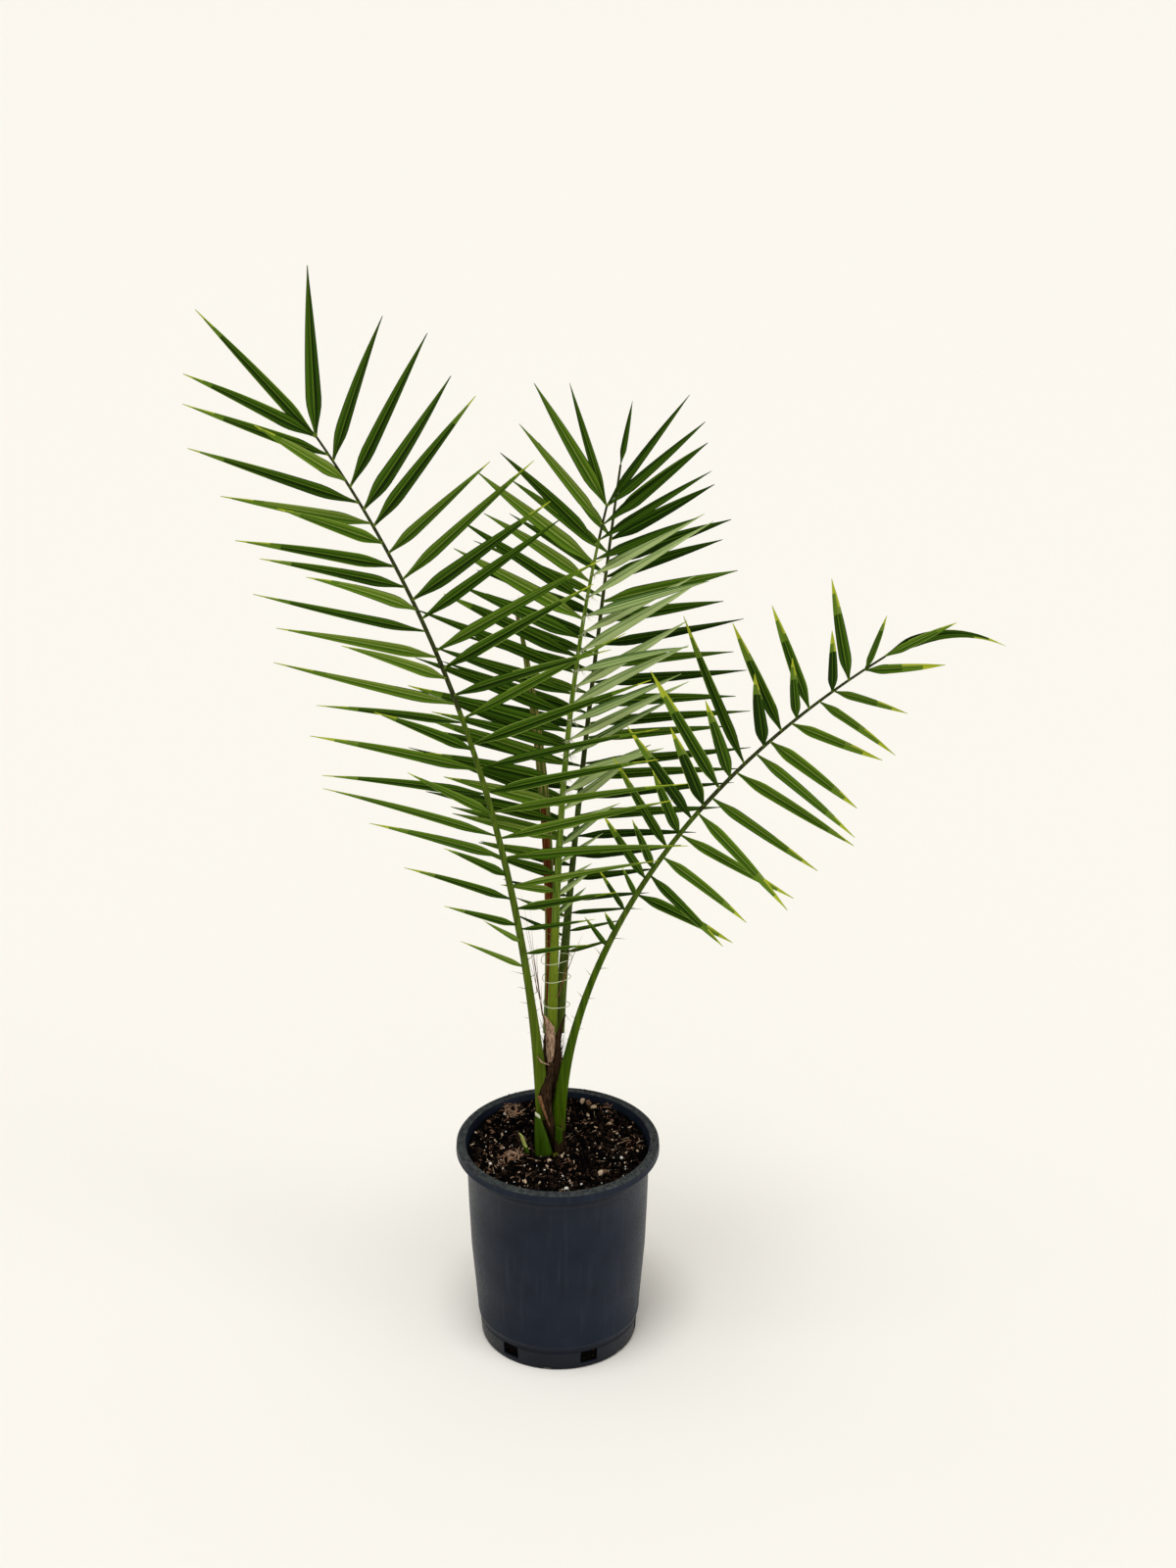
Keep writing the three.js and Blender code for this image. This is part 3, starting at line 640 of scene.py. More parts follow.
def leaflet_blank():
    bm = bmesh.new()
    columns = len(BLADE_COLUMNS) - 1
    bmesh.ops.create_grid(bm, x_segments=columns, y_segments=BLADE_ROWS, size=0.5)
    for vert in bm.verts:
        column = round((vert.co.x + 0.5) * columns)
        vert.co.x = BLADE_COLUMNS[column]
        vert.co.y = (vert.co.y + 0.5) ** ROW_POWER
    under = bmesh.ops.extrude_face_region(bm, geom=bm.faces[:], use_keep_orig=True)
    for vert in under["geom"]:
        if isinstance(vert, bmesh.types.BMVert):
            vert.co.z = -1
    bmesh.ops.recalc_face_normals(bm, faces=bm.faces)
    return read_blank(bm)


BLADE = leaflet_blank()
print("one leaflet:", len(BLADE["sizes"]), "faces")

# %% Bending a leaflet into place
# Shares of a blade's full half width
ROOT_WIDTH = 0.18
FULL_WIDTH = 1.05
TIP_WIDTH = 0.05
ROOT_FOLD = 1.1
BLADE_FOLD = 0.36
FOLD_ROUNDING = 0.1
HALF_BULGE = 0.1
RIDGE_WIDTH = 0.12
# Thicknesses in mm, and how much of them is lost towards the tip and the edges
BLADE_THICKNESS = 0.9
MIDRIB_RIDGE = 0.7
THIN_TIP = 0.55
THIN_EDGE = 0.6
# A leaflet shorter than this is narrower too, down to a share
FULL_WIDTH_FROM = 120
SMALL_LEAFLET = 0.55
# A blade's twist in degrees, its sideways sway as a share of its length, and the share of its solid's
# length that it has, so that its tip stays inside
TWIST = 14
SWAY = 0.035
REACH = 0.997


def turned(vector, axis, angles):
    return vector * np.cos(angles)[:, None] + np.cross(axis, vector) * np.sin(angles)[:, None]


def blade_shape(leaflet):
    """A leaflet's points in mm, and the UV coordinates of its corners."""
    across, along, under = BLADE["points"].T
    length = REACH * leaflet["length"]
    number = leaflet["number"]
    size = max(SMALL_LEAFLET, min(1, length / FULL_WIDTH_FROM))
    root_end, taper_power = leaflet["outline"]
    opened = smooth(np.clip(along / root_end, 0, 1))
    outline = mix(ROOT_WIDTH, FULL_WIDTH, opened) * (1 - along ** taper_power)
    half = 0.5 * leaflet["width"] * leaflet["broad"] * size * np.maximum(outline, TIP_WIDTH)
    direction = np.array(leaflet["direction"])
    edge = np.array(leaflet["along"])
    edge = edge - direction * (edge @ direction)
    edge = edge / np.linalg.norm(edge)
    face = np.cross(direction, edge) * leaflet["sign"]
    twist = np.radians(leaflet["turn"] + TWIST * jitter(number + 11) * along)
    gutter = np.hypot(across, FOLD_ROUNDING) - FOLD_ROUNDING
    fold = mix(ROOT_FOLD, BLADE_FOLD, opened) * gutter + HALF_BULGE * np.sin(math.pi * np.abs(across))
    thick = BLADE_THICKNESS * (1 - THIN_TIP * along) * (1 - THIN_EDGE * across ** 2)
    ridge = MIDRIB_RIDGE * np.exp(-(across / RIDGE_WIDTH) ** 2) * (1 - along)
    height = half * fold + under * (thick + ridge) + 0.5 * thick
    sway = SWAY * length * jitter(number + 12) * along ** 2
    points = np.array(leaflet["root"]) + direction * (length * along)[:, None]
    points += edge * sway[:, None]
    points[:, 2] -= length * leaflet["droop"] * along ** 2
    points += (turned(edge, direction, twist) * (half * across)[:, None]
               + turned(face, direction, twist) * height[:, None])
    uv = np.stack([half * across, length * along], 1)[BLADE["corners"]]
    return points, uv


# %% [markdown]
# ## Dealing out the leaf colours
# Each face of the blank knows which strip of the blade it lies on: a margin, the midrib, a streak, or
# the parts between them. It also knows how far along it is and whether it is on the underside. Each
# leaflet draws a main colour from its side's list. The half that looks up to the frond's tip is a step
# lighter, which is painted light, the other fold beside the midrib a step darker, which is painted shade
# in the fold, and the margins are darkest. Where a side yellows, its margins turn pale, and the colour
# spreads from the tip as far as the side's share says.

# %% Slots of one leaflet's faces
GREENS = ("deep", "shade", "leaf", "fresh", "olive", "margin")
BLOOMS = ("moss", "bloom", "silver")
# Steps up from the main colour: margin, outer part, streak, inner part, midrib, and so on outwards
# The half towards the frond's tip is a step lighter as painted light, and the inner part of the other half
# a step darker as painted shade in the fold
UPPER_STEPS = (-2, 0, 0, -1, 2, 0, 1, 1, -2)
UNDER_STEPS = (-1, -1, 0, -1, 1, 0, 1, 0, -1)
LAST_STRIP = len(UPPER_STEPS) - 1
centre_across, centre_along, centre_under = BLADE["centres"].T
IS_UNDER = centre_under < -0.9
face_strips = np.clip(np.searchsorted(BLADE_COLUMNS, centre_across) - 1, 0, LAST_STRIP)
IS_MARGIN = (face_strips == 0) | (face_strips == LAST_STRIP)
# Each colour of a yellow tip: the share along where it starts, how much earlier it starts on a wholly
# yellow leaflet, and the faces that it takes
YELLOWING = (
    ("fresh", 0.84, 0.34, ~IS_UNDER), ("olive", 0.88, 0.4, centre_across > 0),
    ("lime", 0.92, 0.4, centre_across > 0.5), ("lime", 0.97, 0.24, True),
)
LEAST_YELLOW = 0.05
PALE_MARGINS_FROM = 0.2
GREEN_UNDER_FROM = 0.86
ROOT_END = 0.02
# One leaflet in eight draws more than this, and is dry past the share
DRY_ABOVE = 0.75
DRY_FROM = 0.965


def lighter(colour, steps):
    ladder = GREENS if colour in GREENS else BLOOMS
    return ladder[min(max(ladder.index(colour) + steps, 0), len(ladder) - 1)]


def draw_from(choices, number):
    return choices[int((jitter(number) + 1) / 2 * len(choices)) % len(choices)]


def blade_slots(leaflet):
    side = leaflet["side"]
    number = leaflet["number"]
    main = draw_from(side["tints"], number + 21)
    under = draw_from(side["unders"], number + 26) if leaflet["share"] < GREEN_UNDER_FROM else "shade"
    upper_slots = np.array([LEAF_SLOT[lighter(main, steps)] for steps in UPPER_STEPS])
    under_slots = np.array([LEAF_SLOT[lighter(under, steps)] for steps in UNDER_STEPS])
    slots = np.where(IS_UNDER, under_slots[face_strips], upper_slots[face_strips])
    yellow = mix(*side["yellow"], leaflet["share"])
    if yellow > PALE_MARGINS_FROM:
        pale_from = 0.3 + 0.4 * jitter(number + 23)
        slots[IS_MARGIN & (centre_along > pale_from)] = LEAF_SLOT["margin"]
    slots[centre_along < ROOT_END] = LEAF_SLOT["olive"]
    reach = yellow * (0.6 + 0.4 * jitter(number + 24))
    if reach > LEAST_YELLOW:
        for colour, start, earlier, faces in YELLOWING:
            slots[faces & (centre_along > start - earlier * reach)] = LEAF_SLOT[colour]
    if jitter(number + 25) > DRY_ABOVE:
        slots[centre_along > DRY_FROM] = LEAF_SLOT["straw"]
    return slots


print("faces under the blade:", int(IS_UNDER.sum()), "and on its margins:", int(IS_MARGIN.sum()))

# %% The leaflets of each frond
for name, grown in leaflets.items():
    bent = [blade_shape(leaflet) for leaflet in grown]
    piece = join_copies(
        "leaflets_" + name, BLADE, [points for points, uv in bent], LEAF.values(),
        [blade_slots(leaflet) for leaflet in grown], [uv for points, uv in bent],
    )
    finish_piece(piece, "fronds", "frond_" + name)

# %% [markdown]
# ## Midribs and stalks
# The stalk is the leaf's bare lower part and the midrib is its upper part between the leaflets, which
# darkens towards the tip. It is one long taper, flatter than it is wide and grooved along its face. A tube
# is a grid whose columns are wrapped round and whose seam is then merged, with its two ends filled. A
# curve with a bevel would also make a tube, but its section couldn't flatten and flare along the way.
# Near its foot each stalk widens to clasp the stem, and the outer two still stand in their dry sheaths.


# %% A tube from a wrapped grid
def tube_mesh(name, sides, rings, place, materials, slot_of=None):
    """place(share, angle) gives the skin's point in mm. slot_of(share, angle) gives a face's slot."""
    bm = bmesh.new()
    bmesh.ops.create_grid(bm, x_segments=sides, y_segments=rings, size=0.5)
    for face in bm.faces:
        centre = face.calc_center_median()
        face.material_index = slot_of(centre.y + 0.5, (centre.x + 0.5) * 2 * math.pi) if slot_of else 0
    for vert in bm.verts:
        share = vert.co.y + 0.5
        angle = (vert.co.x + 0.5) * 2 * math.pi
        vert.co = Vector(place(share, angle)) * MM
    bmesh.ops.remove_doubles(bm, verts=bm.verts, dist=1e-6)
    ends = [edge for edge in bm.edges if edge.is_boundary]
    bmesh.ops.holes_fill(bm, edges=ends, sides=0)
    bmesh.ops.recalc_face_normals(bm, faces=bm.faces)
    return mesh_object(name, bm, materials)


# %% The midribs
RIB_SIDES = 16
RIB_RINGS = 120
RIB_GROOVE = 0.22
CLASP_END = 0.3
RAGGED_SHEATH = 0.35
# How much wider a foot clasps the stem, and the shares along where its sheath ends and it turns dark
RIB_LOOKS = {
    "front": dict(clasp=0.1, sheath_end=0, dark_from=0.94),
    "rear": dict(clasp=0.5, sheath_end=0, dark_from=0.42),
    "right": dict(clasp=0.4, sheath_end=0.03, dark_from=0.64),
    "left": dict(clasp=0.2, sheath_end=0.03, dark_from=0.62),
}


def midrib_tube(name):
    frond = FRONDS[name]
    points = rib_lines[name]
    looks = RIB_LOOKS[name]
    stalk_end = min(frond["right"]["first"], frond["left"]["first"])

    def skin(share, angle):
        radius = rib_radius(frond, share)
        groove = 1 - RIB_GROOVE * max(0, math.sin(angle)) ** 4
        wide = radius * (1 + looks["clasp"] * max(0, 1 - share / CLASP_END))
        return skin_point(frond, points, share, angle, wide, radius * RIB_FLATNESS * groove)

    def slot_of(share, angle):
        if share < looks["sheath_end"] * (1 + RAGGED_SHEATH * math.sin(angle)):
            return 3
        return int(share > stalk_end) + int(share > looks["dark_from"])

    materials = [STALK[name], RACHIS[name], RACHIS_DARK, SHEATH_FIBRE]
    return tube_mesh("midrib_" + name, RIB_SIDES, RIB_RINGS, skin, materials, slot_of)


for name in FRONDS:
    finish_piece(midrib_tube(name), "fronds")

# %% [markdown]
# ## Spines, hairs and fluff
# Below the leaflets a date palm's stalk is armed: the lowest leaflets are reduced to stiff spines that
# get shorter towards the foot. Between them sit short hairs and fibres. Pale fluff is left at the roots
# of the front frond's right leaflets, where the young leaf was folded. All are thin cones, so one cone
# blank serves for all.

# %% A bent cone
CONE_SIDES = 5
CONE_RINGS = 5


def cone_blank():
    bm = bmesh.new()
    bmesh.ops.create_cone(bm, cap_ends=True, segments=CONE_SIDES, radius1=1, radius2=0.02, depth=1)
    for ring in range(1, CONE_RINGS):
        height = ring / CONE_RINGS - 0.5
        bmesh.ops.bisect_plane(bm, geom=bm.verts[:] + bm.edges[:] + bm.faces[:],
                               plane_co=(0, 0, height), plane_no=(0, 0, 1))
    bmesh.ops.translate(bm, verts=bm.verts, vec=(0, 0, 0.5))
    return read_blank(bm)


CONE = cone_blank()
# No cone runs along this direction, so a cone's two sides are found from it
ASIDE = (0.31, 0.52, 0.79)


def bent_cone(root, direction, length, radius, droop, sideways):
    """A thin cone from root, sinking by droop and drifting sideways by the given shares of its length."""
    x, y, share = CONE["points"].T
    direction = np.array(direction)
    side = np.cross(direction, ASIDE)
    side = side / np.linalg.norm(side)
    other = np.cross(direction, side)
    points = np.array(root) + direction * (length * share)[:, None]
    bow = sideways * length * share ** 2
    points += side * (radius * x + bow)[:, None] + other * (radius * y)[:, None]
    points[:, 2] -= droop * length * share ** 2
    return points


print("one cone:", len(CONE["sizes"]), "faces")

# %% Spines, hairs and fluff
SPINE = dict(count=6, first=0.13, angle=50, lift=25, lengths=(5, 22), radius=0.65, droop=0.08, bow=0.1)
HAIR = dict(count=50, first=0.06, past=0.05, sunk=0.9, leans=(0.6, 2.0), lengths=(1.5, 4.5), radius=0.28,
            bow=0.3)
FLUFF = dict(count=14, first=0.3, last=0.85, roots=(1, 7), lengths=(4, 14), radius=0.42, droop=0.2,
             bow=0.6)
spines = []
hairs = []
for name, frond in FRONDS.items():
    line = rib_lines[name]
    for side, sign in ((frond["right"], 1), (frond["left"], -1)):
        for index in range(SPINE["count"]):
            share = (index + 0.5) / SPINE["count"]
            place = mix(SPINE["first"], side["first"], share)
            direction = leaflet_direction(frame_at(frond, place), sign, SPINE["angle"], SPINE["lift"])
            length = mix(*SPINE["lengths"], share) + rib_radius(frond, place)
            bow = SPINE["bow"] * jitter(index + frond["seed"])
            spines.append(bent_cone(point_at(line, place), direction, length, SPINE["radius"],
                                    SPINE["droop"], bow))
    for index in range(HAIR["count"]):
        number = frond["seed"] * 13 + index * 5
        place = between(HAIR["first"], frond["left"]["first"] + HAIR["past"], number)
        along, across, face = frame_at(frond, place)
        around = math.pi * jitter(number + 1)
        outward = across * math.cos(around) + face * (math.sin(around) * RIB_FLATNESS)
        root = point_at(line, place) + outward * (rib_radius(frond, place) * HAIR["sunk"])
        direction = (outward + along * between(*HAIR["leans"], number + 3)).normalized()
        hairs.append(bent_cone(root, direction, between(*HAIR["lengths"], number + 2), HAIR["radius"], 0,
                               HAIR["bow"] * jitter(number + 4)))
finish_piece(join_copies("stalk_spines", CONE, spines, [SPINE_SKIN]), "fronds")
finish_piece(join_copies("stalk_hairs", CONE, hairs, [SHEATH_STRIP]), "fronds")

fluff = []
for leaflet in leaflets["front"]:
    if leaflet["sign"] < 0 or not FLUFF["first"] < leaflet["share"] < FLUFF["last"]:
        continue
    for index in range(FLUFF["count"]):
        number = leaflet["number"] * 17 + index * 3
        root = leaflet["root"] + leaflet["direction"] * between(*FLUFF["roots"], number)
        outward = Vector((jitter(number + 1), jitter(number + 2) - 0.7, jitter(number + 4))).normalized()
        fluff.append(bent_cone(root, outward, between(*FLUFF["lengths"], number + 5), FLUFF["radius"],
                               FLUFF["droop"], FLUFF["bow"] * jitter(number + 6)))
finish_piece(join_copies("leaflet_fluff", CONE, fluff, [FLUFF_SKIN]), "fronds")

# %% [markdown]
# ## Stem
# The stem is hidden in old leaf bases, a column of coarse dark fibre. Its relief is real shape and not
# only shading, because it shows at the outline: each point of a fine tube is pushed in or out by a noise
# that is stretched along the stem.

# %% Stem
stem_low, stem_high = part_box("stem")
STEM_BOTTOM = stem_low.z / MM - 4
STEM_TOP = stem_high.z / MM + 3
STEM_FOOT = (-9, 18)
STEM_HEAD = (-6, 18.5)
STEM_RADII = (13.2, 10.4)
STEM_FLARE = 4
# The top closes in from this share of the height on
STEM_CROWN = 0.93
# Coarse and fine relief: how fast it changes round the stem, its length along it and its depth in mm
STEM_RELIEF = ((2.6, 46, 1.7), (9, 30, 1.1))


def stem_skin(share, angle):
    cosine, sine = math.cos(angle), math.sin(angle)
    height = mix(STEM_BOTTOM, STEM_TOP, share)
    radius = mix(*STEM_RADII, share) + STEM_FLARE * (1 - share) ** 4
    radius += sum(depth * noise.noise(Vector((round_it * cosine, round_it * sine, height / length)))
                  for round_it, length, depth in STEM_RELIEF)
    if share > STEM_CROWN:
        radius *= 1 - 0.5 * ((share - STEM_CROWN) / (1 - STEM_CROWN)) ** 2
    x = mix(STEM_FOOT[0], STEM_HEAD[0], share) + radius * cosine
    y = mix(STEM_FOOT[1], STEM_HEAD[1], share) + radius * sine
    return x, y, height


finish_piece(tube_mesh("fibrous_stem", 72, 110, stem_skin, [SHEATH_FIBRE]), "leaf_sheath", "stem")

# %% [markdown]
# ## Dry sheaths
# Five torn strips of dead sheath show at the front: a pale papery one that ends in a point at the upper
# left, a small curled one at its foot, a dark one whose tip stands free on the right, a broad dark one
# across the stem, and a pinkish brown one beside the cut stalk. Each is a narrow grid laid along a short
# line of points and curled round the stem, then given a wall with the solidify operator.

# %% Torn strips
# The wall and the creases in mm, and the ragged edge as a share of the width
STRIP_ROWS = 40
STRIP_COLUMNS = 10
STRIP_WALL = 0.7
STRIP_TEAR = 0.144
STRIP_CREASE = 0.5


def strip(name, line, widths, curl, material):
    """line has the strip's points in mm from its foot up, widths its width at each, curl its cupping."""
    line = [Vector(point) for point in line]
    seed = len(name)
    bm = bmesh.new()
    bmesh.ops.create_grid(bm, x_segments=STRIP_COLUMNS, y_segments=STRIP_ROWS, size=0.5)
    for vert in bm.verts:
        share = vert.co.y + 0.5
        across = 2 * vert.co.x
        place = share * (len(line) - 1)
        index = min(int(place), len(line) - 2)
        centre = line[index].lerp(line[index + 1], smooth(place - index))
        width = mix(widths[index], widths[index + 1], place - index)
        ragged = 1 + STRIP_TEAR * noise.noise(Vector((7 * across, share * 30, seed)))
        crease = STRIP_CREASE * noise.noise(Vector((across * 2.4, share * 9, 3.7 * seed)))
        cup = curl * across ** 2 * width + crease
        vert.co = (centre + Vector((0.5 * width * across * ragged, cup, 0))) * MM
    bmesh.ops.recalc_face_normals(bm, faces=bm.faces)
    bmesh.ops.solidify(bm, geom=bm.faces[:], thickness=STRIP_WALL * MM)
    bmesh.ops.recalc_face_normals(bm, faces=bm.faces)
    finish_piece(mesh_object(name, bm, [material]), "leaf_sheath")


strip("papery_sheath", [(-9.8, 5, 376), (-8.2, 4, 390), (-8, 3.5, 412), (-9, 4, 431), (-15.5, 3, 448)],
      [2.5, 11, 12, 11, 1], 0.22, SHEATH_PAPER)
strip("dark_sheath_tip", [(-2.4, 4, 345), (-0.8, 3, 388), (2.4, 4, 424), (9.9, 4, 449)], [9, 8, 6, 0.8],
      0.25, SHEATH_FIBRE)
strip("dark_front_sheath",
      [(-2, -6.5, 262), (-8, -8, 296), (-14, -8, 326), (-15, -6.5, 343), (-10, -3, 364), (-7, 3, 382)],
      [3, 9, 14, 15, 11, 6], 0.2, SHEATH_FIBRE)
strip("dry_sheath_strip", [(-9.5, -14, 301), (-13.5, -14, 314), (-18, -13, 328), (-22.5, -8, 342)],
      [0.8, 3, 4.4, 5.5], 0.25, SHEATH_STRIP)
strip("curled_sheath_strip", [(-11, -4, 383), (-18.5, -7, 388), (-24, -8, 397)], [3, 3.4, 1], 0.3,
      SHEATH_PAPER)

# %% [markdown]
# ## Loose fibres and tie threads
# The sheaths fray into thin fibres that hug the stem, and a few long strands hang between the stalks.
# Three pale threads go round the centre stalks. Fibres and strands are thin bent cones, and the threads
# are rings of a thin tube.

# %% Fibres and strands
FIBRE = dict(count=170, low=6, high=4, reach=(13.5, 11), lengths=(12, 46), radius=0.45, droop=0.1,
             bow=0.35)
stem_fibres = []
for index in range(FIBRE["count"]):
    number = 900 + index * 9
    share = between(0, 1, number)
    height = mix(STEM_BOTTOM + FIBRE["low"], STEM_TOP - FIBRE["high"], share)
    around = math.pi * jitter(number + 1)
    cosine, sine = math.cos(around), math.sin(around)
    radius = mix(*FIBRE["reach"], share)
    x = mix(STEM_FOOT[0], STEM_HEAD[0], share) + radius * cosine
    y = STEM_FOOT[1] + radius * sine
    lean = 0.25 + 0.2 * jitter(number + 2)
    direction = Vector((lean * cosine, lean * sine, 1)).normalized()
    length = mix(*FIBRE["lengths"], between(0, 1, number + 3) * (1 - 0.3 * share))
    stem_fibres.append(bent_cone((x, y, height), direction, length, FIBRE["radius"], FIBRE["droop"],
                                 FIBRE["bow"] * jitter(number + 4)))
finish_piece(join_copies("stem_fibres", CONE, stem_fibres, [SHEATH_FIBRE]), "leaf_sheath")

# Each long strand: both ends in mm, the radius, and the sideways bow
STRANDS = (
    ((0.5, 8, 470), (28, 8, 563), 0.9, -0.05), ((2.5, 7, 478), (21, 8, 545), 0.8, 0.06),
    ((-18, 3, 448), (-37, 3, 622), 0.6, 0.05), ((-20, 4, 470), (-31, 3, 551), 0.6, -0.12),
    ((-24, 3, 480), (-34, 2, 592), 0.5, 0.1), ((-16, 5, 440), (-28, 4, 530), 0.7, 0.12),
    ((-22, 2, 486), (-38, 2, 600), 0.45, -0.08), ((-15, 4, 432), (-26, 3, 498), 0.7, -0.15),
    ((9.9, 4, 449), (19, 3, 434), 0.3, 0.3), ((3.5, -9, 290), (10.7, -8, 316), 0.5, 0.15),
    ((1, -9, 284), (8.5, -8, 304), 0.45, -0.2), ((5, -8, 298), (6.5, -8, 314), 0.4, 0.2),
)
strands = []
for start, end, radius, bow in STRANDS:
    way = Vector(end) - Vector(start)
    strands.append(bent_cone(start, way.normalized(), way.length, radius, 0, bow))
finish_piece(join_copies("sheath_strands", CONE, strands, [SHEATH_STRIP]), "leaf_sheath")

# %% Tie threads
THREAD_RADIUS = 0.45
THREAD_CENTRE = (-2, 17)
THREAD_LONGER = 4
# Each thread's height, radius and slant in mm
THREADS = {"low": (457, 12, -1.5), "middle": (493, 13, 1), "high": (519, 14.5, 2)}


def thread(name, height, radius, slant):
    def skin(share, angle):
        around = share * 2 * math.pi
        reach = radius * (1 + 0.1 * math.cos(3 * around)) + THREAD_RADIUS * math.cos(angle)
        return (THREAD_CENTRE[0] + (reach + THREAD_LONGER) * math.cos(around),
                THREAD_CENTRE[1] + reach * math.sin(around),
                height + slant * math.cos(around) + THREAD_RADIUS * math.sin(angle))

    finish_piece(tube_mesh("tie_thread_" + name, 6, 60, skin, [CUT_PITH]), "leaf_sheath")


for name, (height, radius, slant) in THREADS.items():
    thread(name, height, radius, slant)

# %% [markdown]
# ## Closed new leaf
# The youngest leaf is still shut: all its leaflets are pressed together into a pleated rod. So the rod's
# section has a ridge for each pleat, and the pleats take turns in green and tan. Low on one side it is
# rust brown, where it has rubbed against the sheaths, and at its top three pleats come apart.

# %% Closed new leaf
PLEATS = 7
PLEAT_TWIST = 2.2
PLEAT_DEPTH = 0.1
RUST_FROM = 0.12
RUST_TO = 0.52
RUST_SIDE = -0.5
# Each of the three points at the top: which way it leans, and its share of the full length
POINTS = ((-1, 0.95), (1, 1.0), (0.2, 0.8))


def spear_radius(share):
    if share < SPEAR["full"]:
        return mix(SPEAR["base_radius"], SPEAR["full_radius"], smooth(share / SPEAR["full"]))
    late = (share - SPEAR["full"]) / (1 - SPEAR["full"])
    return mix(SPEAR["full_radius"], SPEAR["tip_radius"], late ** SPEAR["tip_power"])


def pleat_height(share, angle):
    return math.cos(PLEATS * angle + PLEAT_TWIST * share)


def spear_skin(share, angle):
    radius = spear_radius(share) * (1 + PLEAT_DEPTH * pleat_height(share, angle))
    return skin_point(SPEAR, spear_line, share, angle, radius, radius)


def spear_slot(share, angle):
    worn = math.cos(angle + 0.4 * math.sin(9 * share)) < RUST_SIDE
    if worn and RUST_FROM + 0.05 * math.sin(3 * angle) < share < RUST_TO + 0.06 * math.sin(2 * angle + 1):
        return 2
    if share < RUST_FROM:
        return 0
    return int(pleat_height(share, angle) > 0.1)


new_leaf = tube_mesh("new_leaf", 56, 120, spear_skin, [SPEAR_GREEN, SPEAR_TAN, SPEAR_RUST], spear_slot)
finish_piece(new_leaf, "new_leaf", "spear")
along, across, face = frame_at(SPEAR, SPEAR["split"])
split_root = point_at(spear_line, SPEAR["split"])
prongs = []
for lean, share in POINTS:
    direction = along + face * (lean * SPEAR["prong_spread"] / SPEAR["prong_length"])
    prongs.append(bent_cone(split_root, direction.normalized(), SPEAR["prong_length"] * share,
                            SPEAR["prong_radius"], 0, 0.03 * lean))
finish_piece(join_copies("new_leaf_points", CONE, prongs, [SPEAR_TAN]), "new_leaf")

# %% [markdown]
# ## Cut stalks and young shoot
# Older leaves were cut off near the mix. The front stump is a broad green wedge with a pale cut face, the
# side one is small, and a young shoot stands to the left. Each is a short tube on its solid's place, with
# a sheath-like fold down its front.

# %% Cut stalks and shoot
BURIED = 4
STUB_SWELL = 0.1
CUT_SLOPE = 2.5
# The fold down the front: its depth as a share, the angle that it lies at, and its width in radians
SEAM = dict(depth=0.16, angle=1.5 * math.pi - 0.5, width=0.25)
# Sizes in mm, and the shares of the height where dry sheath ends and the pale skin starts
STUBS = {
    "cut_stub_front": dict(foot=(-16.4, -12), top=(-24.5, -11), widths=(22.5, 6), depth=11, height=57,
                           pale=CUT_PITH, pale_from=0.97, sheath_end=0.0),
    "cut_stub_side": dict(foot=(1, -8.5), top=(1.5, -8.5), widths=(9, 8), depth=7, height=36,
                          pale=CUT_PITH, pale_from=2, sheath_end=0.44),
    "side_shoot": dict(foot=(-36, -11), top=(-44.5, -12), widths=(6, 5), depth=6, height=28,
                       pale=SHOOT_PALE, pale_from=0.5, sheath_end=0.12),
}


def stub_tube(name, stub):
    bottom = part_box(name)[0].z / MM - BURIED
    top_depth = min(stub["depth"], 0.5 * stub["widths"][1])

    def skin(share, angle):
        swell = 1 + STUB_SWELL * math.sin(math.pi * share)
        half_width = 0.5 * mix(*stub["widths"], share) * swell
        half_depth = 0.5 * mix(stub["depth"], top_depth, share) * swell
        seam = 1 - SEAM["depth"] * math.exp(-((angle - SEAM["angle"]) / SEAM["width"]) ** 2)
        x = mix(stub["foot"][0], stub["top"][0], share) + half_width * math.cos(angle) * seam
        y = mix(stub["foot"][1], stub["top"][1], share) + half_depth * math.sin(angle) * seam
        slope = -CUT_SLOPE * math.cos(angle) * share
        return x, y, bottom + (stub["height"] + BURIED) * share + slope

    def slot_of(share, angle):
        if stub["sheath_end"] and share < stub["sheath_end"] + 0.12 * abs(math.cos(angle)):
            return 2
        return int(share > stub["pale_from"] + 0.05 * math.sin(angle))

    return tube_mesh(name + "_skin", 40, 30, skin, [CUT_GREEN, stub["pale"], SHEATH_FIBRE], slot_of)


for name, stub in STUBS.items():
    piece = stub_tube(name, stub)
    if stub["pale_from"] < 1:
        for polygon in piece.data.polygons:
            if len(polygon.vertices) > 4:
                polygon.material_index = 1
    finish_piece(piece, "green_stalk", name)

# %% [markdown]
# ## Pot
# The pot is blow-moulded black plastic with a blue cast. Its wall is one closed profile that is spun
# round the axis: foot, foot band, two faint rings, a shoulder, the deep rim band and the flat rim. The six
# drainage windows and six small notches in the foot are cut with one boolean. Handling leaves dull
# patches, scuffs and upright wipe marks. The colour darkens towards the foot, and a painted shade
# darkens the corner under the rim.

# %% Pot plastic
# Moulded plastic is smooth and dark with a soft sheen, which the scuffs break up. Real scuffs are hair
# thin, and are drawn 3 mm wide so that they show
PATCH_SIZE = 30
WIPE_WIDTH = 8
WIPE_LENGTH = 90
SCUFF_SIZE = 3
POT_HEIGHT = 274
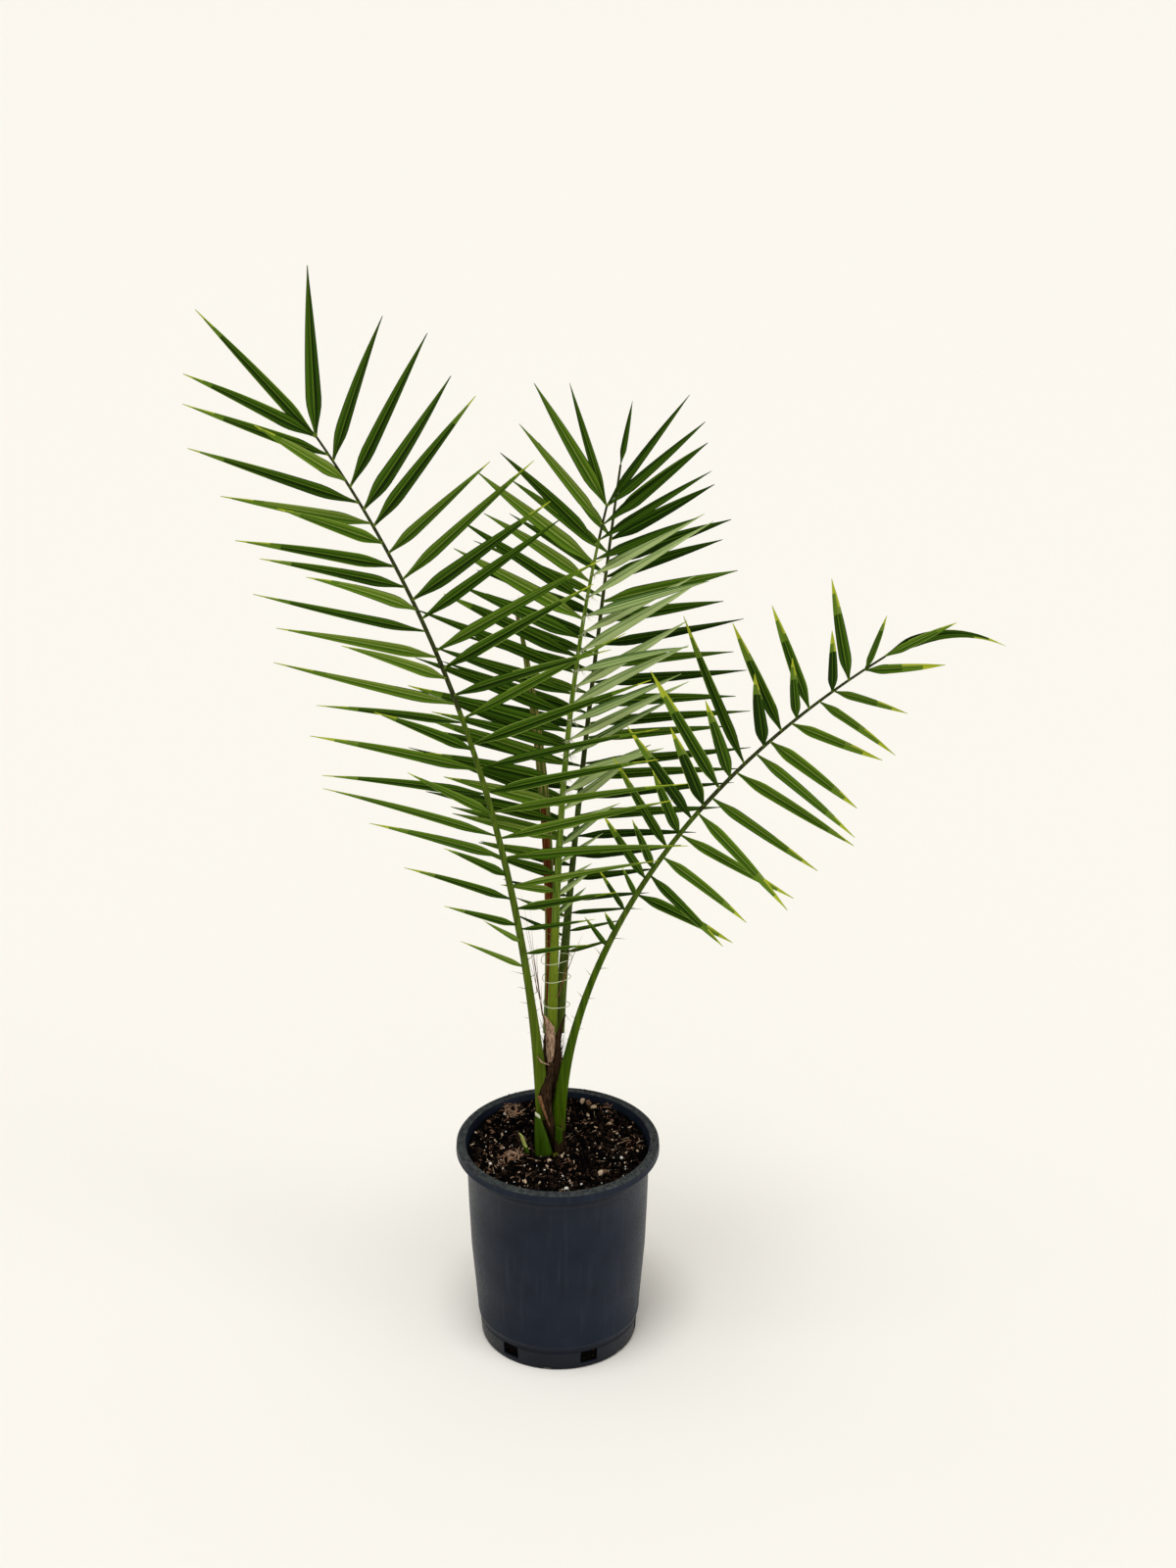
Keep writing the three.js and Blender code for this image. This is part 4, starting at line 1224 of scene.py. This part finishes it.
# Each pair is a share of the height and how much darker the wall is there: darker towards the foot, and
# painted shade in the corner under the rim
FOOT_DARKENING_AND_RIM_SHADE = ((0.09, 0.55), (0.14, 0.0), (0.84, 0.0), (0.945, 0.5), (0.96, 0.0))
pot_plastic = new_material("moulded_black_plastic", "#1A1F2A", 0.5, 0.09)
place = add_node(pot_plastic, "TexCoord", {}, "Object")
patches = add_node(pot_plastic, "TexNoise", {
    "Vector": place, "Scale": 1 / (PATCH_SIZE * MM), "Detail": 4.0}, "Fac")
patched = add_node(pot_plastic, "Mix", {
    0: patches, 6: linear("#121823"), 7: linear("#222A39")}, 2, data_type="RGBA")
wipe_lines = add_node(pot_plastic, "Mapping", {
    "Vector": place,
    "Scale": (1 / (WIPE_WIDTH * MM), 1 / (WIPE_WIDTH * MM), 1 / (WIPE_LENGTH * MM))}, "Vector")
wipes = add_node(pot_plastic, "TexNoise", {"Vector": wipe_lines, "Scale": 1.0, "Detail": 3.0}, "Fac")
wipe_share = add_node(pot_plastic, "MapRange", {
    "Value": wipes, "From Min": 0.55, "From Max": 0.8, "To Min": 0, "To Max": 0.32}, "Result")
wiped = add_node(pot_plastic, "Mix", {
    0: wipe_share, 6: patched, 7: linear("#383D45")}, 2, data_type="RGBA")
height = add_node(pot_plastic, "SeparateXYZ", {"Vector": place}, "Z")
height_share = add_node(pot_plastic, "MapRange", {
    "Value": height, "From Min": 0, "From Max": POT_HEIGHT * MM}, "Result")
# A ramp up the height makes the wall darker towards the foot and paints shade into the corner under the
# rim
darkening_and_shade = add_node(pot_plastic, "ValToRGB", {"Fac": height_share}, "Color")
stops = darkening_and_shade.node.color_ramp.elements
stops[0].color = (FOOT_DARKENING_AND_RIM_SHADE[0][1],) * 3 + (1,)
stops[1].color = (0, 0, 0, 1)
for share, amount in FOOT_DARKENING_AND_RIM_SHADE:
    stops.new(share).color = (amount, amount, amount, 1)
darkened_and_shaded = add_node(pot_plastic, "Mix", {
    0: darkening_and_shade, 6: wiped, 7: linear("#0A0D12")}, 2, data_type="RGBA")
feed(pot_plastic, "Base Color", darkened_and_shaded)
scuffs = add_node(pot_plastic, "TexNoise", {
    "Vector": place, "Scale": 1 / (SCUFF_SIZE * MM), "Detail": 6.0}, "Fac")
gloss = add_node(pot_plastic, "MapRange", {
    "Value": scuffs, "From Min": 0.35, "From Max": 0.7, "To Min": 0.34, "To Max": 0.5}, "Result")
feed(pot_plastic, "Roughness", gloss)
bump = add_node(pot_plastic, "Bump", {
    "Height": scuffs, "Strength": 0.12, "Distance": 0.2 * MM}, "Normal")
feed(pot_plastic, "Normal", bump)
print("pot plastic:", len(pot_plastic.node_tree.nodes), "nodes")

# %% Rim plastic
# The rim's top is handled most: a greyer plastic, rubbed pale in spots 5 mm wide
WEAR_SIZE = 5
rim_plastic = new_material("scuffed_rim_plastic", "#32373A", 0.5, 0.12)
place = add_node(rim_plastic, "TexCoord", {}, "Object")
wear = add_node(rim_plastic, "TexNoise", {
    "Vector": place, "Scale": 1 / (WEAR_SIZE * MM), "Detail": 6.0, "Roughness": 0.7}, "Fac")
wear_share = add_node(rim_plastic, "MapRange", {
    "Value": wear, "From Min": 0.42, "From Max": 0.72}, "Result")
worn = add_node(rim_plastic, "Mix", {
    0: wear_share, 6: linear("#23282B"), 7: linear("#4C5150")}, 2, data_type="RGBA")
feed(rim_plastic, "Base Color", worn)
print("rim plastic:", len(rim_plastic.node_tree.nodes), "nodes")

# %% Pot wall
POT_SIDES = 192
RIM_TOP_FROM = 272.9
# Radius and height of the closed wall's section, from the middle of the underside round to the inside
POT_PROFILE = (
    (0, 0.8), (84, 0.8), (86, 0), (93.5, 0), (96, 1.2), (97, 4), (98.4, 24), (98.9, 24.8), (98.6, 25.6),
    (99, 29.6), (100, 30.6), (100.4, 35.6), (101, 36.4), (100.7, 37.2), (104.4, 84), (108, 130),
    (110.2, 190), (111.7, 246), (112.2, 247), (113, 248), (113.4, 256), (113.6, 261.4), (114.6, 262.2),
    (122.6, 262.2), (124.2, 262.6), (124.6, 263.6), (124.7, 265.4), (124.2, 266.2), (124.3, 271),
    (124.2, 272.4), (123.2, 273.6), (121.6, 274), (119.6, 273.8), (118.4, 273.3), (117.2, 273.8),
    (114.6, 274), (113.4, 273.4), (113, 272), (111.6, 266), (110.4, 260), (107.6, 190), (105, 130),
    (99.6, 60), (94, 5), (92, 4), (0, 4),
)


def spun_profile(profile, sides):
    """A bmesh of a profile of radius and height in mm, spun round the axis."""
    bm = bmesh.new()
    verts = [bm.verts.new((radius * MM, 0, height * MM)) for radius, height in profile]
    edges = [bm.edges.new(pair) for pair in zip(verts, verts[1:])]
    bmesh.ops.spin(bm, geom=verts + edges, cent=(0, 0, 0), axis=(0, 0, 1), angle=2 * math.pi,
                   steps=sides, use_merge=True)
    bmesh.ops.remove_doubles(bm, verts=bm.verts, dist=1e-6)
    return bm


bm = spun_profile(POT_PROFILE, POT_SIDES)
bmesh.ops.recalc_face_normals(bm, faces=bm.faces)
for face in bm.faces:
    face.material_index = int(face.calc_center_median().z > RIM_TOP_FROM * MM)
pot = mesh_object("nursery_pot", bm, [pot_plastic, rim_plastic])
print("pot wall before cutting:", len(pot.data.polygons), "faces")

# %% Windows and notches
CUTS = 6
CUT_RADIUS = 97
CUT_BEVEL = 0.9
SHARP_FROM = 38
WINDOW = dict(first_angle=-67, depth=16, width=22, height=18, bottom=8)
NOTCH = dict(first_angle=-38, depth=12, width=9, height=4.4, bottom=-1)
bm = bmesh.new()
for index in range(CUTS):
    for cut in (WINDOW, NOTCH):
        turn = Matrix.Rotation(math.radians(cut["first_angle"] + 360 / CUTS * index), 4, "Z")
        size = Matrix.Diagonal((cut["depth"], cut["width"], cut["height"], 1))
        shift = Matrix.Translation((CUT_RADIUS, 0, cut["bottom"] + cut["height"] / 2))
        box = bmesh.ops.create_cube(bm, size=1, matrix=Matrix.Scale(MM, 4) @ turn @ shift @ size)
        edges = [edge for edge in bm.edges if all(vert in box["verts"] for vert in edge.verts)]
        bmesh.ops.bevel(bm, geom=edges, offset=CUT_BEVEL * MM, segments=2, profile=0.5, affect="EDGES",
                        material=-1)
cutters = mesh_object("cutters", bm)
windows = pot.modifiers.new("windows", "BOOLEAN")
windows.object = cutters
windows.operation = "DIFFERENCE"
windows.solver = "EXACT"
bpy.context.view_layer.update()
carved = bpy.data.meshes.new_from_object(pot.evaluated_get(bpy.context.evaluated_depsgraph_get()))
pot.modifiers.clear()
pot.data = carved
pot.data.name = "nursery_pot"
bpy.data.objects.remove(cutters)
pot.data.shade_smooth()
pot.data.set_sharp_from_angle(angle=math.radians(SHARP_FROM))
finish_piece(pot, "pot_plastic", "pot")

# %% [markdown]
# ## Potting mix
# The mix is near black and lumpy, with bark chips, pale perlite grains and thin roots. It is banked up
# against the back wall. A fine disc with noise gives the lumpy ground, and the loose bits lie on it, in
# the drainage windows and on the rim. They are copies of one lump, one grain and one fibre, each kind in
# a mesh of its own with a few plain colours dealt out by copy.


# %% Mix colours
def crumbly(name, colour, roughness=0.95):
    """Damp crumbs, bark and perlite: no gloss, and a rough grit, drawn at 1.2 mm so that it shows."""
    material = new_material(name, colour, roughness, 0.03)
    place = add_node(material, "TexCoord", {}, "Object")
    grit = add_node(material, "TexNoise", {"Vector": place, "Scale": 1 / (1.2 * MM), "Detail": 4.0}, "Fac")
    bump = add_node(material, "Bump", {"Height": grit, "Strength": 0.5, "Distance": 0.4 * MM}, "Normal")
    feed(material, "Normal", bump)
    return material


PEAT = [crumbly("damp_peat_black", "#050303"), crumbly("damp_peat_dark", "#110B09"),
        crumbly("damp_peat_brown", "#241A14")]
BARK = [crumbly("shredded_bark_brown", "#3A2A20"), crumbly("shredded_bark_rust", "#6E5240"),
        crumbly("shredded_bark_tan", "#BFA78D")]
PERLITE = [crumbly("puffed_perlite_white", "#DEDAD2", 0.8),
           crumbly("puffed_perlite_cream", "#BFA58A", 0.85)]
ROOTS = [crumbly("dry_root_tan", "#A67F66"), crumbly("dry_root_pale", "#C2A68C"),
         crumbly("dry_root_dark", "#4B3021")]
OLIVE_BIT = crumbly("mossy_bit_olive", "#4A4A14")
print("mix colours:", len(PEAT + BARK + PERLITE + ROOTS) + 1)

# %% Ground of the mix
SOIL_LEVEL = 260.3
SOIL_RADIUS = 109
BANK_RISE = 6.5
BANK_FROM = 0.66
GROUND_RINGS = 64
GROUND_SIDES = 150
GROUND_EDGE = 109.2
# The radius and height in mm of the edge where the mix meets the pot's floor
MIX_FOOT = (94, 4.4)
# Big and small bumps: width and depth in mm, and a seed
GROUND_RELIEF = ((14, 2.2, 1.7), (4.5, 1.5, 8.1))


def ground_height(x, y):
    reach = math.hypot(x, y) / SOIL_RADIUS
    bank = smooth(min(max((reach - BANK_FROM) / (1 - BANK_FROM), 0), 1))
    bank *= max(0, 0.3 + 0.7 * y / SOIL_RADIUS)
    bumps = sum(depth * noise.noise(Vector((x / width, y / width, seed)))
                for width, depth, seed in GROUND_RELIEF)
    return SOIL_LEVEL + BANK_RISE * bank + bumps


# The top is spun flat and the floor far below it, so that the height says which points to lift
FAR_BELOW = -100
top = [(GROUND_EDGE * ring / GROUND_RINGS, 0) for ring in range(GROUND_RINGS + 1)]
bm = spun_profile(top + [(MIX_FOOT[0], FAR_BELOW), (0, FAR_BELOW)], GROUND_SIDES)
for vert in bm.verts:
    if vert.co.z > FAR_BELOW / 2 * MM:
        vert.co.z = ground_height(vert.co.x / MM, vert.co.y / MM) * MM
    else:
        vert.co.z = MIX_FOOT[1] * MM
bmesh.ops.recalc_face_normals(bm, faces=bm.faces)
finish_piece(mesh_object("potting_mix", bm, [PEAT[0]]), "potting_mix", "soil")

# %% Loose bits
rng = np.random.default_rng(7)


def lump_blank(subdivisions):
    bm = bmesh.new()
    bmesh.ops.create_icosphere(bm, subdivisions=subdivisions, radius=1)
    return read_blank(bm)


def random_turn():
    quaternion = rng.normal(size=4)
    w, x, y, z = quaternion / np.linalg.norm(quaternion)
    return np.array([
        [1 - 2 * (y * y + z * z), 2 * (x * y - w * z), 2 * (x * z + w * y)],
        [2 * (x * y + w * z), 1 - 2 * (x * x + z * z), 2 * (y * z - w * x)],
        [2 * (x * z - w * y), 2 * (y * z + w * x), 1 - 2 * (x * x + y * y)],
    ])


def roughened(blank, roughness):
    return blank["points"] * (1 + roughness * rng.uniform(-1, 1, (len(blank["points"]), 1)))


def spot_on_mix(reach=106):
    radius = reach * math.sqrt(rng.random())
    angle = rng.random() * 2 * math.pi
    x, y = radius * math.cos(angle), radius * math.sin(angle)
    return x, y, ground_height(x, y)


def scatter_bits(name, blank, count, sizes, flatness, roughness, materials, weights, sink=0.3,
                 spot=spot_on_mix):
    """Copies of a lump: sizes are its smallest and largest half width in mm, flatness its three shares."""
    shapes = []
    dealt = []
    for _ in range(count):
        x, y, z = spot()
        size = sizes[0] * (sizes[1] / sizes[0]) ** (rng.random() ** 1.6)
        shares = np.array(flatness) * rng.uniform(0.75, 1.25, 3)
        points = (roughened(blank, roughness) * shares * size) @ random_turn().T
        shapes.append(points + (x, y, z + size * (flatness[2] - sink)))
        dealt.append(rng.choice(len(materials), p=weights))
    finish_piece(join_copies(name, blank, shapes, materials, dealt), "potting_mix")


LUMP = lump_blank(1)
GRAIN = lump_blank(2)
scatter_bits("peat_crumbs", LUMP, 3600, (1.0, 4.2), (1, 0.8, 0.7), 0.3, PEAT, (0.45, 0.35, 0.2))
scatter_bits("bark_chips", LUMP, 1050, (0.7, 3.6), (1.5, 0.7, 0.35), 0.25, BARK, (0.38, 0.34, 0.28))
scatter_bits("perlite_grains", GRAIN, 150, (0.5, 1.7), (1, 0.9, 0.8), 0.1, PERLITE, (0.5, 0.5), sink=0.0)

# %% Large grains and lumps
# The larger perlite grains and bark lumps that catch the eye, each with its place and half width in mm
BIG_PERLITE = (
    (-65, 38, 1.6), (-52, 38, 1.6), (-66, 0, 1.4), (-59, 2, 1.5), (-82, -37, 2.1), (-33, -46, 1.6),
    (11, -91, 3.2), (22, 45, 1.5), (29, -83, 1.6), (99, 58, 2.2), (78, -24, 2.4), (73, 33, 2.3),
)
BIG_BARK = (
    (30, 97, 4.2), (38, 92, 4.6), (44, 86, 3.8), (67, 58, 3.2), (37, 74, 2.6), (15, -31, 3.0),
    (-10, -29, 3.6), (-86, 52, 3.0), (52, -60, 4.0), (58, -54, 3.4), (5, -19, 2.4),
)


def big_lumps(name, lumps, flatness, roughness, materials):
    shapes = []
    for x, y, size in lumps:
        points = (roughened(GRAIN, roughness) * flatness * size) @ random_turn().T
        shapes.append(points + (x, y, ground_height(x, y) + 0.5 * size + 1))
    dealt = [index % len(materials) for index in range(len(lumps))]
    finish_piece(join_copies(name, GRAIN, shapes, materials, dealt), "potting_mix")


big_lumps("olive_lump", ((-4, -18, 3.6), (-2, -16, 2.4)), (1.3, 0.8, 0.6), 0.12, [OLIVE_BIT])
big_lumps("large_perlite", BIG_PERLITE, (1, 0.95, 0.85), 0.08, PERLITE)
big_lumps("large_bark", BIG_BARK, (1.2, 0.8, 0.7), 0.2, [BARK[2], BARK[1]])

# %% Roots and fibres on the mix
LOOSE_FIBRES = 150
# Nests of old roots: the place of the middle, the half width in mm, and how many fibres
NESTS = ((-57, 80, 12, 80), (-54, -18, 11, 60), (60, 90, 10, 12), (90, 8, 11, 14), (-70, -34, 10, 14))
FIBRE_RISE = 0.3
root_fibres = []
root_slots = []


def add_root(x, y, heading, lift, length, radius, weights):
    """A fibre that rises a little from the mix and sinks back to it. weights are those of its colours."""
    root = (x, y, ground_height(x, y) + 0.6)
    direction = Vector((math.cos(heading), math.sin(heading), FIBRE_RISE)).normalized()
    fibre = bent_cone(root, direction, length, radius, FIBRE_RISE * 0.9, rng.uniform(-0.6, 0.6))
    root_fibres.append(fibre + (0, 0, lift))
    root_slots.append(rng.choice(len(ROOTS), p=weights))


for _ in range(LOOSE_FIBRES):
    x, y, z = spot_on_mix(98)
    add_root(x, y, rng.uniform(0, 2 * math.pi), 0.5, rng.uniform(4, 20), rng.uniform(0.25, 0.55),
             (0.45, 0.2, 0.35))
for centre_x, centre_y, spread, count in NESTS:
    for _ in range(count):
        around = rng.uniform(0, 2 * math.pi)
        reach = spread * rng.uniform(0.2, 1.1)
        x = centre_x + reach * math.cos(around)
        y = centre_y + reach * math.sin(around)
        heading = around + math.pi / 2 + rng.normal() * 0.6
        add_root(x, y, heading, rng.uniform(0.5, 4), rng.uniform(7, 15), rng.uniform(0.35, 0.65),
                 (0.6, 0.3, 0.1))
finish_piece(join_copies("root_fibres", CONE, root_fibres, ROOTS, root_slots), "potting_mix")

# %% Crumbs in the windows and on the rim
RIM_SPOTS = (118, 128, 140, 62, -10)


def spot_in_window():
    angle = math.radians(WINDOW["first_angle"] + 360 / CUTS * rng.integers(CUTS)) + rng.uniform(-0.1, 0.1)
    radius = rng.uniform(93.5, 94.5)
    return radius * math.cos(angle), radius * math.sin(angle), rng.uniform(9, 24)


def spot_on_rim():
    angle = math.radians(rng.choice(RIM_SPOTS) + rng.normal() * 7)
    radius = rng.uniform(114.5, 123)
    return radius * math.cos(angle), radius * math.sin(angle), POT_HEIGHT


scatter_bits("window_crumbs", LUMP, 110, (1, 3.2), (1, 0.7, 0.7), 0.3, [PEAT[0], PEAT[2], BARK[0]],
             (0.5, 0.3, 0.2), spot=spot_in_window)
scatter_bits("rim_crumbs", LUMP, 34, (0.5, 1.3), (1, 0.8, 0.6), 0.25, PEAT, (0.4, 0.3, 0.3), 0.1,
             spot_on_rim)
